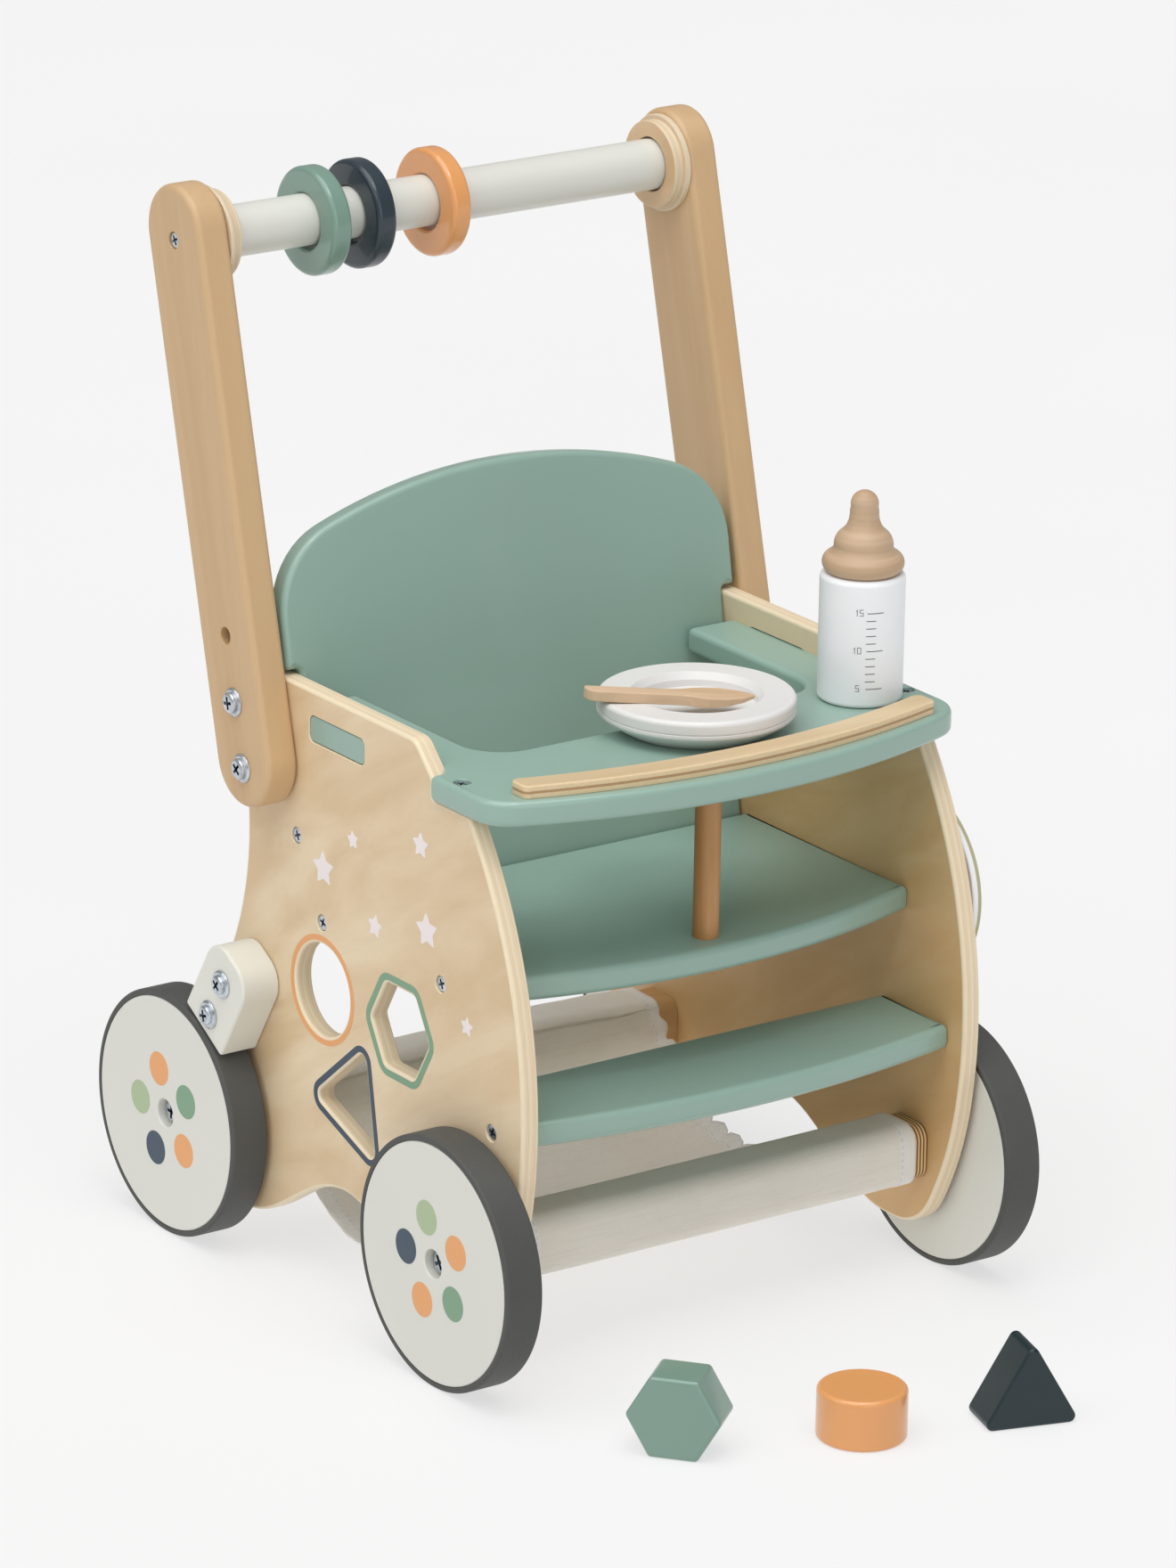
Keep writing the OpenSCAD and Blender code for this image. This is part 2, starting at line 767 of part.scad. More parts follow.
module bottle_body() {
  r = bottle_r;
  color(white) turned(bottle_c, tray_z + lift_gap) difference() {
    polygon(concat([[0, 0]], arc([r - 2, 2], 2, -90, 0, 4),
      arc([r - 2, bottle_h - 2], 2, 0, 90, 4), [[0, bottle_h]]));
    translate([0, bottle_h - 10]) square([6, 11]);
  }
}

module bottle_teat() {
  color(beech) turned(bottle_c, tray_z + lift_gap + bottle_h) polygon(concat(
    [[0, -9], [5.9, -9], [5.9, 0], [15.5, 0]],
    arc([13.9, 4.4], 4.9, -60, 80, 8),
    arc([5.2, 12.6], 8.4, -10, 55, 6),
    [[7.2, 25], [6.5, 29]],
    arc([0, 31.8], 6.4, 0, 90, 8)));
}

module plate() {
  r = plate_r;
  h = plate_h;
  color(white) turned(plate_c, tray_z + lift_gap) polygon(concat(
    [[0, 0], [34, 0], [r - 2, h - 9]],
    arc([r - 2, h - 7], 2, -60, 0, 3),
    arc([r - 2, h - 2], 2, 0, 90, 4),
    [[30.7, h], [28, h - 3.6], [27.9, h - 6.5], [0, h - 6.5]]));
}

// The tip is at the origin, and the handle runs along -x
module knife_shape() {
  rear = [[0, 0], [-3.5, 3.6], [-9, 6.8], [-16, 8.7], [-23, 8.9], [-29, 7.4], [-34, 5.2], [-40, 4.3]];
  butt = [[0, 4.1], [0, 1], [1.2, -1.5], [3.2, -3.5], [5.5, -4.3]];
  front = [[-34, -4.3], [-30, -5], [-27, -6.4], [-22, -7.9], [-13, -7.3], [-6, -4.4]];
  polygon(concat(rear, [for (p = butt) p - [knife_l, 0]], front));
}

module knife() {
  color(beech) placed() translate([knife_tip[0], knife_tip[1], tray_z + plate_h - knife_sunk])
    rotate([0, 0, knife_turn]) rotate([0, knife_tilt, 0]) linear_extrude(knife_t) knife_shape();
}

module block_hexagon() {
  color(sage) placed() translate([hex_place[0], hex_place[1], hex_r * cos(30)])
    rotate([0, 0, hex_place[2]]) across(-block_d / 2, block_d) soft_ngon(6, hex_r, 2.5, 0);
}

module block_cylinder() {
  color(orange) placed() translate([cyl_place[0], cyl_place[1], 0]) cylinder(r = cyl_r, h = block_d);
}

module block_triangle() {
  color(navy) placed() translate([tri_place[0], tri_place[1], tri_side / sqrt(12)])
    rotate([0, 0, tri_place[2] + 90]) across(-block_d / 2, block_d)
      soft_ngon(3, tri_side / sqrt(3), tri_corner_r, 90);
}

side_panel_left();
side_panel_right();
backrest();
seat_board();
footrest_board();
tray();
tray_rail();
crotch_post();
front_crossbar();
rear_crossbar();
basket_sling();
handle_arm_left();
handle_arm_right();
handlebar();
handle_collar_left();
handle_collar_right();
handle_bolts();
handle_cup_washers();
handle_nuts();
handlebar_screws();
panel_screws_left();
panel_screws_right();
tray_screws();
axle_bolts();
axle_bushes();
axle_washers();
front_axle_inserts();
rear_axle_nuts();
wheel_disc_front_left();
wheel_disc_front_right();
wheel_disc_rear_left();
wheel_disc_rear_right();
tyre_front_left();
tyre_front_right();
tyre_rear_left();
tyre_rear_right();
brake_block_left();
brake_block_right();
brake_screws();
brake_cup_washers();
ring_green();
ring_navy();
ring_orange();
activity_disc();
activity_disc_screw();
activity_disc_spacer();
bottle_body();
bottle_teat();
plate();
knife();
block_hexagon();
block_cylinder();
block_triangle();
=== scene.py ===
"""Looks of the wooden push walker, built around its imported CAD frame. Metres, +Z up."""

import math

import bmesh
import bpy
from mathutils import Matrix, Vector, geometry, noise


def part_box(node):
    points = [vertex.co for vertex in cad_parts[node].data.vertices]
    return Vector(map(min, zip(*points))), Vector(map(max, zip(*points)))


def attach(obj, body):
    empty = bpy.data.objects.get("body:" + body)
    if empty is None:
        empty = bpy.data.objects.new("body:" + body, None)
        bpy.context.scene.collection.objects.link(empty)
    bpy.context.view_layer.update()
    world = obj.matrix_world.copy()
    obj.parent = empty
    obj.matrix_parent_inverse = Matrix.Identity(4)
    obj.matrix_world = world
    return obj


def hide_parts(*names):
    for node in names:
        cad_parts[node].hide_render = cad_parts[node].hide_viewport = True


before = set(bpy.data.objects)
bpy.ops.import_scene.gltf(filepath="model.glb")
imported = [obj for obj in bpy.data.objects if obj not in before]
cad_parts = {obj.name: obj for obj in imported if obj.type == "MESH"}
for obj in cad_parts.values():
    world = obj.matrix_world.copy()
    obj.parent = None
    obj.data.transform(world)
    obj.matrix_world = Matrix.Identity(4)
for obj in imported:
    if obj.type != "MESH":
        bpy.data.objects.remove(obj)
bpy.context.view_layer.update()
MM = 0.001

# The walker's own middle plane is X = 0. Its wheelbase is centred here in Y.
BASE_Y = (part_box("wheel_disc_front_left")[0].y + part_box("wheel_disc_rear_left")[1].y) / 2


# ---- camera ----

# Solved so that the walker's edges and circles fall where they are seen. Degrees and metres.
AZIMUTH, ELEVATION, ROLL = -35.48, 18.723, 0.972
TARGET = Vector((0.0110, BASE_Y, 0.2235))
DISTANCE, LENS_MM, SENSOR_MM = 3.7258, 186.28, 36


def link(obj):
    bpy.context.scene.collection.objects.link(obj)
    return obj


def make_camera():
    azimuth, tilt, roll = (math.radians(v) for v in (AZIMUTH, 90 - ELEVATION, ROLL))
    turns = [Matrix.Rotation(a, 4, axis) for a, axis in ((azimuth, "Z"), (tilt, "X"), (roll, "Z"))]
    data = bpy.data.cameras.new("camera")
    data.lens, data.sensor_width, data.clip_end = LENS_MM, SENSOR_MM, 50
    camera = link(bpy.data.objects.new("camera", data))
    camera.matrix_world = Matrix.Translation(TARGET) @ turns[0] @ turns[1] @ turns[2]
    camera.matrix_world @= Matrix.Translation((0, 0, DISTANCE))
    bpy.context.scene.camera = camera


make_camera()


# ---- flat outlines ----

def fillet(points, closed=True, radius=0, least_turn=25):
    """Rounds the corners of a 2-D outline. A point may carry its own radius as a third number."""
    out = []
    count = len(points)
    for i, point in enumerate(points):
        r = point[2] if len(point) > 2 else radius
        here = Vector(point[:2])
        if r <= 0 or (not closed and i in (0, count - 1)):
            out.append(here)
            continue
        before, after = (Vector(points[(i + step) % count][:2]) - here for step in (-1, 1))
        turn = math.pi - before.angle(after)
        if turn < math.radians(least_turn):
            out.append(here)
            continue
        reach = r * math.tan(turn / 2)
        most = 0.48 * min(before.length, after.length)
        if reach > most:
            r, reach = r * most / reach, most
        a, b = before.normalized(), after.normalized()
        centre = here + (a + b).normalized() * math.hypot(r, reach)
        start, end = here + a * reach - centre, here + b * reach - centre
        sweep = math.atan2(start.cross(end), start.dot(end))
        first = math.atan2(start.y, start.x)
        steps = max(2, round(abs(sweep) / math.radians(12)))
        out += [centre + Vector((math.cos(t), math.sin(t))) * r
                for t in (first + sweep * k / steps for k in range(steps + 1))]
    return out


def clean(loop, least=0.02 * MM):
    """Drops points that fall on the one before."""
    out = []
    for p in loop:
        if not out or (p - out[-1]).length > least:
            out.append(p)
    while (out[0] - out[-1]).length <= least:
        out.pop()
    return out


def area(loop):
    return sum(a.cross(b) for a, b in zip(loop, loop[1:] + loop[:1])) / 2


def oriented(loop, anticlockwise=True):
    return loop if (area(loop) > 0) == anticlockwise else loop[::-1]


def inset(loop, depth):
    """Moves a loop to its left by depth: inwards for an anticlockwise loop, into the wood for a hole."""
    if not depth:
        return list(loop)
    out = []
    for i, p in enumerate(loop):
        a = (p - loop[i - 1]).normalized()
        b = (loop[(i + 1) % len(loop)] - p).normalized()
        normal_a, normal_b = Vector((-a.y, a.x)), Vector((-b.y, b.x))
        middle = (normal_a + normal_b).normalized()
        out.append(p + middle * (depth / max(0.4, middle.dot(normal_a))))
    return out


def polar(centre, radius, degrees):
    t = math.radians(degrees)
    return centre[0] + radius * math.cos(t), centre[1] + radius * math.sin(t)


def circle(centre, radius, steps):
    return [Vector(polar(centre, radius, 360 * i / steps)) for i in range(steps)]


def arc(centre, radius, first, last, steps):
    """Points from one angle to another, in degrees."""
    return [polar(centre, radius, first + (last - first) * k / steps) for k in range(steps + 1)]


def profile(points, base=0, closed=True):
    """A lathe outline from points in millimetres: radius, height above base and, if rounded, its radius."""
    return fillet([(p[0] * MM, base + p[1] * MM, *(corner * MM for corner in p[2:])) for p in points], closed)


def polygon(centre, radii, corners, turn, corner):
    """A regular polygon, or a star if there are two radii to take in turn."""
    return fillet([(*polar(centre, radii[i % len(radii)], turn + 360 * i / corners), corner)
                   for i in range(corners)])


def oblong(centre, size, corner):
    w, h = size[0] / 2, size[1] / 2
    return fillet([(centre[0] + x * w, centre[1] + y * h, corner)
                   for x, y in ((-1, -1), (1, -1), (1, 1), (-1, 1))])


# ---- solid shapes ----

X, Y, Z = Vector((1, 0, 0)), Vector((0, 1, 0)), Vector((0, 0, 1))
RIGHT, LEFT, UP = (Y, Z, X), (Z, Y, -X), (X, Y, Z)


def outward(side):
    """The (u, v, n) frame whose n points away from the middle plane on the walker's given side."""
    return RIGHT if side > 0 else LEFT


def on_side(side, y, z):
    """A (y, z) point as that frame's (u, v)."""
    return Vector((y, z)) if side > 0 else Vector((z, y))


class Shape:
    """Vertices, faces, a material slot for each face, and how far each vertex is on a rounded edge."""

    def __init__(self, frame=UP):
        self.frame = frame
        self.verts, self.faces, self.slots, self.edge_wear_and_highlight = [], [], [], []

    def point(self, co, edge_wear_and_highlight=0):
        self.verts.append(Vector(co))
        self.edge_wear_and_highlight.append(edge_wear_and_highlight)
        return len(self.verts) - 1

    def face(self, corners, slot=0):
        self.faces.append(tuple(corners))
        self.slots.append(slot)

    def bridge(self, low, high, slot):
        """Joins two rings. A ring of one point closes to a tip."""
        count = max(len(low), len(high))
        for i in range(count):
            j = (i + 1) % count
            corners = [low[i % len(low)], low[j % len(low)], high[j % len(high)], high[i % len(high)]]
            self.face(list(dict.fromkeys(corners)), slot)

    def loft(self, rings, slot):
        for low, high in zip(rings, rings[1:]):
            self.bridge(low, high, slot)

    def cap(self, rings, slot=0):
        """Fills the area between an outer ring and hole rings, all in one plane across the frame's n."""
        u, v, _ = self.frame
        flat = [[Vector((self.verts[i].dot(u), self.verts[i].dot(v), 0)) for i in ring] for ring in rings]
        order = [i for ring in rings for i in ring]
        for tri in geometry.tessellate_polygon(flat):
            self.face([order[k] for k in tri], slot)

    def ring(self, loop, level, edge_wear_and_highlight=0):
        u, v, n = self.frame
        return [self.point(u * p.x + v * p.y + n * level, edge_wear_and_highlight) for p in loop]

    def add(self, other, slot_shift=0):
        """Takes in another shape. slot_shift is added to its material slots."""
        start = len(self.verts)
        self.verts += other.verts
        self.edge_wear_and_highlight += other.edge_wear_and_highlight
        self.faces += [tuple(i + start for i in f) for f in other.faces]
        self.slots += [s + slot_shift for s in other.slots]


def rounding(radius):
    """(inset, depth, edge weight) of each ring of a quarter-round edge, from the cap to the side. The edge
    weight sets where paint is worn and lightened as a painted highlight.
    """
    if radius <= 0:
        return [(0, 0, 0)]
    steps = 4
    return [(radius * (1 - math.sin(t)), radius * (1 - math.cos(t)), math.sin(2 * t))
            for t in (math.pi / 2 * k / steps for k in range(steps + 1))]


LIP = 0.25 * MM


def prism(frame, outer, low, high, radius, holes=(), pockets=(), low_radius=None, side_slot=1, low_slot=0):
    """A board with quarter-round edges. holes are (loop, edge radius), pockets (loop, depth below high)."""
    shape = Shape(frame)
    low_radius = radius if low_radius is None else low_radius
    tops, bottoms = [], []
    loops = [(oriented(clean(outer)), radius, low_radius)]
    loops += [(oriented(clean(loop), False), r, r) for loop, r in holes]
    for loop, top_r, low_r in loops:
        rings = [shape.ring(inset(loop, d), low + h, w) for d, h, w in rounding(low_r)]
        rings += [shape.ring(inset(loop, d), high - h, w) for d, h, w in reversed(rounding(top_r))]
        shape.loft(rings, side_slot)
        bottoms.append(rings[0])
        tops.append(rings[-1])
    for loop, depth in pockets:
        loop = oriented(clean(loop), False)
        rings = [shape.ring(inset(loop, LIP), high, 0.5), shape.ring(loop, high - LIP, 0.5),
                 shape.ring(loop, high - depth)]
        shape.loft(rings, side_slot)
        shape.face(rings[2], side_slot)
        tops.append(rings[0])
    shape.cap(tops)
    shape.cap(bottoms, low_slot)
    return shape


def lathe(frame, centre, outline, closed=True, steps=96, slot_of=None):
    """Turns a (radius, height) outline about the frame's n axis through centre."""
    shape = Shape()
    u, v, n = frame
    rings = []
    for r, h in outline:
        turns = [math.tau * i / steps for i in range(steps)] if r else [0]
        rings.append([shape.point(centre + n * h + (u * math.cos(t) + v * math.sin(t)) * r) for t in turns])
    for a in range(len(rings) if closed else len(rings) - 1):
        b = (a + 1) % len(rings)
        slot = slot_of((outline[a] + outline[b]) / 2) if slot_of else 0
        shape.bridge(rings[a], rings[b], slot)
    return shape


MICRON = 1e-6


def outlines(node, frame):
    """A CAD node's flat cap on the side of the frame's n: its loops, largest first, and its two levels."""
    u, v, n = frame
    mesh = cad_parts[node].data
    levels = [n.dot(p.co) for p in mesh.vertices]
    high = max(levels)
    edges = set()
    for poly in mesh.polygons:
        corners = [mesh.vertices[i].co for i in poly.vertices]
        if poly.normal.dot(n) > 0.999 and all(high - n.dot(c) < 2 * MICRON for c in corners):
            keys = [(round(c.dot(u) / MICRON), round(c.dot(v) / MICRON)) for c in corners]
            edges |= set(zip(keys, keys[1:] + keys[:1]))
    following = {}
    for a, b in sorted(edges):
        if (b, a) not in edges and a != b:
            following.setdefault(a, []).append(b)
    loops = []
    while following:
        start = here = min(following)
        loop = []
        while not loop or here != start:
            loop.append(here)
            if here not in following:
                here = min(following, key=lambda k: math.dist(k, here))
            step = following[here].pop()
            if not following[here]:
                del following[here]
            here = step
        loops.append([Vector(p) * MICRON for p in loop])
    loops.sort(key=lambda loop: -abs(area(loop)))
    return loops, min(levels), high


def middle_yz(node):
    low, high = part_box(node)
    return (low.y + high.y) / 2, (low.z + high.z) / 2


def round_box(node):
    """An upright round node: the middle of its foot, then its radius and height in millimetres."""
    low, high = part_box(node)
    foot = Vector(((low.x + high.x) / 2, (low.y + high.y) / 2, low.z))
    return foot, (high.x - low.x) / 2 / MM, (high.z - low.z) / MM


def near(loop, points):
    """Whether a loop is centred on one of the points."""
    middle = sum(loop, Vector((0, 0))) / len(loop)
    return any((middle - p).length < 1.5 * MM for p in points)


def piece(name, shape, materials, replaces=(), slot=None, body="walker_frame", sharp=38):
    """Makes an object of a shape, shades it, and puts it on its body. Edges over sharp degrees stay crisp."""
    mesh = bpy.data.meshes.new(name)
    mesh.from_pydata([tuple(v) for v in shape.verts], [], shape.faces)
    for m in materials:
        mesh.materials.append(m)
    mesh.polygons.foreach_set("material_index", [min(s, len(materials) - 1) for s in shape.slots])
    mesh.attributes.new("edge_wear_and_highlight", "FLOAT", "POINT").data.foreach_set("value", shape.edge_wear_and_highlight)
    work = bmesh.new()
    work.from_mesh(mesh)
    bmesh.ops.recalc_face_normals(work, faces=work.faces)
    work.to_mesh(mesh)
    work.free()
    mesh.polygons.foreach_set("use_smooth", [True] * len(mesh.polygons))
    mesh.set_sharp_from_angle(angle=math.radians(sharp))
    obj = link(bpy.data.objects.new(name, mesh))
    obj.modifiers.new("weighted_normals", "WEIGHTED_NORMAL").keep_sharp = True
    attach(obj, body)
    if replaces:
        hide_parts(*replaces)
    return obj


def sawn(name, node, frame, finish, slot, radius, corner=0, hole_edge=0, **more):
    """A board that keeps its CAD outline. corner rounds the outline itself and radius its two edges."""
    loops, low, high = outlines(node, frame)
    holes = [(loop, hole_edge) for loop in loops[1:]] if hole_edge else ()
    shape = prism(frame, fillet(loops[0], radius=corner), low, high, radius, holes)
    piece(name, shape, [finish], [node], slot, **more)


def turned(name, node, frame, centre, points, base, finish, slot, body, steps=128, closed=True, sharp=38):
    """A piece turned about the frame's n axis from the points of a profile."""
    shape = lathe(frame, centre, profile(points, base, closed), closed, steps)
    piece(name, shape, [finish], [node], slot, body, sharp)


# ---- materials ----

def rgb(r, g, b):
    """An sRGB colour of 0 to 255 as linear RGBA."""
    return tuple((c / 255 / 12.92) if c <= 10 else ((c / 255 + 0.055) / 1.055) ** 2.4
                 for c in (r, g, b)) + (1,)


class Finish:
    """A Principled material and the nodes that feed it."""

    def __init__(self, name, **constants):
        self.material = bpy.data.materials.new(name)
        self.material.use_nodes = True
        self.tree = self.material.node_tree
        self.shader = self.tree.nodes["Principled BSDF"]
        for key, value in constants.items():
            self.shader.inputs[key.replace("_", " ")].default_value = value
        self.place = self.node("TexCoord").outputs["Object"]

    def node(self, kind, settings=None, **inputs):
        made = self.tree.nodes.new("ShaderNode" + kind)
        for key, value in (settings or {}).items():
            setattr(made, key, value)
        for key, value in inputs.items():
            self.put(made.inputs[key.replace("_", " ")], value)
        return made

    def put(self, socket, value):
        if isinstance(value, bpy.types.NodeSocket):
            self.tree.links.new(value, socket)
        else:
            socket.default_value = value

    def set(self, **inputs):
        for key, value in inputs.items():
            self.put(self.shader.inputs[key.replace("_", " ")], value)

    def along(self, axis, source=None):
        return self.node("SeparateXYZ", Vector=source or self.place).outputs[axis]

    def noise(self, scale, detail, stretch=None, source=None, distortion=0):
        vector = source or self.place
        if stretch:
            vector = self.node("Mapping", Vector=vector, Scale=stretch).outputs[0]
        return self.node("TexNoise", Vector=vector, Scale=scale, Detail=detail,
                         Distortion=distortion).outputs["Fac"]

    def ramp(self, factor, stops):
        made = self.node("ValToRGB", Fac=factor)
        elements = made.color_ramp.elements
        while len(elements) < len(stops):
            elements.new(0.5)
        for element, (position, colour) in zip(elements, stops):
            element.position, element.color = position, colour
        return made.outputs[0]

    def mix(self, factor, a, b, blend="MIX"):
        made = self.node("Mix", {"data_type": "RGBA", "blend_type": blend})
        for index, value in ((0, factor), (6, a), (7, b)):
            self.put(made.inputs[index], value)
        return made.outputs[2]

    def math(self, operation, *values, kind="Math"):
        made = self.node(kind, {"operation": operation})
        for socket, value in zip(made.inputs, values):
            self.put(socket, value)
        return made.outputs[0]

    def span(self, value, low, high, to_low=0, to_high=1):
        return self.node("MapRange", Value=value, From_Min=low, From_Max=high,
                         To_Min=to_low, To_Max=to_high).outputs[0]

    def bump(self, height, distance, strength):
        made = self.node("Bump", Height=height, Distance=distance, Strength=strength)
        self.set(Normal=made.outputs[0])


def shade(colour, factor):
    return tuple(c * factor for c in colour[:3]) + (1,)


def wood(name, light, dark, grain=(60, 60, 4), turn=(0, 0, 0), roughness=0.46, pore=0.95, layers=None,
         coat=0.12, blotch=0.5, above=None):
    """Lacquered timber. grain is figure bands per metre along each axis after the turn.
    layers, for plywood edges, is (axis, first, last, colours): bands between two distances from the middle.
    above is (low, high, colour): the wood fades to that colour between two heights."""
    f = Finish(name, Coat_Weight=coat, Coat_Roughness=0.3)
    turned_place = f.node("Mapping", Vector=f.place, Rotation=turn).outputs[0]
    fine = tuple(g * 14 for g in grain)
    figure = f.noise(1, 4, grain, turned_place, distortion=0.7)
    streak = f.noise(1, 3, fine, turned_place)
    patches = f.noise(7, 2)
    colour = f.mix(f.span(figure, 0.38, 0.64), dark, light)
    colour = f.mix(f.span(patches, 0.35, 0.7, 0, blotch), colour, shade(dark, 0.97))
    if above:
        low, high, paler = above
        colour = f.mix(f.span(f.along(2), low, high), colour, paler)
    if layers:
        axis, first, last, bands = layers
        depth = f.span(f.math("ABSOLUTE", f.along(axis)), first, last)
        wobble = f.span(f.noise(45, 3), 0, 1, -0.035, 0.035)
        bands_colour = f.ramp(f.math("ADD", depth, wobble), bands)
        colour = f.mix(f.span(streak, 0.3, 0.75, 0, 0.2), bands_colour, shade(dark, 0.9))
    colour = f.mix(f.span(streak, 0.55, 0.78), colour, (pore, pore, pore, 1), "MULTIPLY")
    f.set(Base_Color=colour, Roughness=f.span(streak, 0.2, 0.8, roughness - 0.05, roughness + 0.08))
    f.bump(f.mix(0.5, figure, streak), 0.12 * MM, 0.6)
    return f.material


DRIFT, EDGE_WEAR_AND_HIGHLIGHT = 0.03, 0.1


def paint(name, colour, roughness, coat=0, coat_roughness=0.1, peel=420, depth=0.04 * MM):
    """Sprayed paint: orange peel, slow drift in tone, and paler in patches on rounded edges, partly rubbed
    wear and partly a painted highlight.
    """
    f = Finish(name, Coat_Weight=coat, Coat_Roughness=coat_roughness)
    slow = f.noise(5, 2)
    skin = f.noise(peel, 2)
    tone = f.mix(f.span(slow, 0.3, 0.7), shade(colour, 1 - DRIFT), shade(colour, 1 + DRIFT))
    edge_wear_and_highlight = f.node("Attribute", {"attribute_name": "edge_wear_and_highlight"}).outputs["Fac"]
    # Paler patches on rounded edges: rubbed wear together with a painted highlight.
    edge_wear_and_highlight_patches = f.math("MULTIPLY", f.span(f.noise(120, 4), 0.45, 0.72), f.math("MULTIPLY", edge_wear_and_highlight, EDGE_WEAR_AND_HIGHLIGHT))
    paler = tuple(min(1, c * 1.15 + 0.05) for c in colour[:3]) + (1,)
    f.set(Base_Color=f.mix(edge_wear_and_highlight_patches, tone, paler),
          Roughness=f.span(skin, 0.2, 0.8, roughness - 0.03, roughness + 0.05))
    f.bump(skin, depth, 0.5)
    return f.material


def rubber(name, colour):
    """Matt rubber with a little dust."""
    f = Finish(name, Specular_IOR_Level=0.35)
    dust = f.span(f.noise(30, 4), 0.4, 0.75, 0, 0.35)
    skin = f.noise(700, 3)
    f.set(Base_Color=f.mix(dust, colour, shade(colour, 1.35)),
          Roughness=f.span(skin, 0.2, 0.8, 0.5, 0.68))
    f.bump(skin, 0.06 * MM, 0.5)
    return f.material


CLOTH_HALF = 110 * MM
HEM, THREAD, STITCH = 9 * MM, 0.75 * MM, 3.2 * MM


def canvas(name, colour, hem):
    """Plain-woven cotton. Its threads follow the UV map, in metres. A stitched hem runs along both sides."""
    f = Finish(name, Sheen_Weight=0.25, Sheen_Roughness=0.6, Specular_IOR_Level=0.25,
               Subsurface_Weight=0.5, Subsurface_Radius=(1, 1, 1), Subsurface_Scale=4 * MM)
    uv = f.node("UVMap", {"uv_map": "threads"}).outputs[0]
    wobble = f.node("TexNoise", Vector=uv, Scale=160, Detail=2).outputs["Color"]
    bent = f.math("MULTIPLY_ADD", wobble, (0.6 * MM, 0.6 * MM, 0), uv, kind="VectorMath")

    def waves(source, direction, pitch):
        return f.node("TexWave", {"wave_type": "BANDS", "bands_direction": direction},
                      Vector=source, Scale=math.tau / 20 / pitch).outputs["Fac"]

    weave = f.mix(0.5, waves(bent, "X", THREAD), waves(bent, "Y", THREAD))
    slub = f.noise(1, 3, (40, 700, 1), uv)
    slow = f.noise(14, 3)
    tone = f.mix(f.span(slow, 0.3, 0.7), shade(colour, 0.95), shade(colour, 1.03))
    tone = f.mix(f.span(slub, 0.5, 0.75, 0, 0.5), tone, shade(colour, 0.88))
    # Darker between the threads: painted shade in the weave's gaps.
    tone = f.mix(f.span(weave, 0.1, 0.6, 0.35, 0), tone, shade(colour, 0.72))
    across = f.math("ABSOLUTE", f.along(0, uv))
    fold = CLOTH_HALF - HEM
    tone = f.mix(f.span(across, fold - 0.2 * MM, fold + 0.2 * MM, 0, 0.75), tone, hem)
    from_seam = f.math("ABSOLUTE", f.math("SUBTRACT", across, fold + 1.3 * MM))
    seam = f.span(from_seam, 0.2 * MM, 0.5 * MM, 1, 0)
    stitch = f.math("MULTIPLY", seam, f.span(waves(uv, "Y", STITCH), 0.25, 0.45))
    tone = f.mix(f.span(stitch, 0, 1, 0, 0.3), tone, shade(colour, 0.5))
    f.set(Base_Color=tone, Roughness=f.span(weave, 0, 1, 0.95, 0.82))
    hem_step = f.span(across, fold, fold + 0.4 * MM, 0, 0.8)
    relief = f.math("SUBTRACT", f.math("ADD", f.mix(0.25, weave, slub), hem_step), stitch)
    f.bump(relief, 0.25 * MM, 0.7)
    return f.material


def zinc(name, light, dark):
    """Zinc-plated steel, finely scratched and a little stained."""
    f = Finish(name, Metallic=0.88)
    scratches = f.noise(1, 3, (900, 900, 120))
    stain = f.noise(260, 3)
    f.set(Base_Color=f.mix(f.span(stain, 0.35, 0.7), light, dark),
          Roughness=f.span(scratches, 0.25, 0.75, 0.2, 0.36))
    f.bump(scratches, 0.03 * MM, 0.4)
    return f.material


PANEL_LIGHT, PANEL_DARK = rgb(232, 212, 179), rgb(216, 188, 148)
PLY_LIGHT, PLY_MID, PLY_LINE = rgb(237, 221, 191), rgb(232, 211, 180), rgb(222, 198, 161)
PLY_BANDS = [(0, PLY_LIGHT), (0.2, PLY_LIGHT), (0.23, PLY_LINE), (0.26, PLY_MID), (0.42, PLY_MID),
             (0.45, PLY_LIGHT), (0.6, PLY_LIGHT), (0.63, PLY_LINE), (0.66, PLY_MID), (0.8, PLY_MID),
             (0.83, PLY_LIGHT), (1, PLY_LIGHT)]
COLLAR_BANDS = [(at, shade(colour, 0.88)) for at, colour in PLY_BANDS]
RAIL_LIGHT, RAIL_LINE = rgb(226, 202, 162), rgb(178, 140, 98)
RAIL_BANDS = [(0, RAIL_LIGHT), (0.36, RAIL_LIGHT), (0.41, RAIL_LINE), (0.57, RAIL_LINE), (0.62, RAIL_LIGHT)]
BAR_LIGHT, BAR_LINE = rgb(230, 198, 142), rgb(112, 76, 40)
BAR_PLIES = 5
BAR_BANDS = [(k / BAR_PLIES + at, colour) for k in range(BAR_PLIES) for at, colour in (
    (0, BAR_LIGHT), (0.07, BAR_LIGHT), (0.1, BAR_LINE), (0.16, BAR_LINE))]
PANEL_X = [corner.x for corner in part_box("side_panel_right")]
COLLAR_X = [corner.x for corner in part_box("handle_collar_right")]
RAIL_Z = [corner.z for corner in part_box("tray_rail")]
BAR_END_X = (0.109, 0.1182)
ARM_LEAN = math.atan2(0.0584, 0.2336)
SAWN = {"grain": (10, 9, 34), "turn": (0.5, 0, 0), "pore": 0.97}

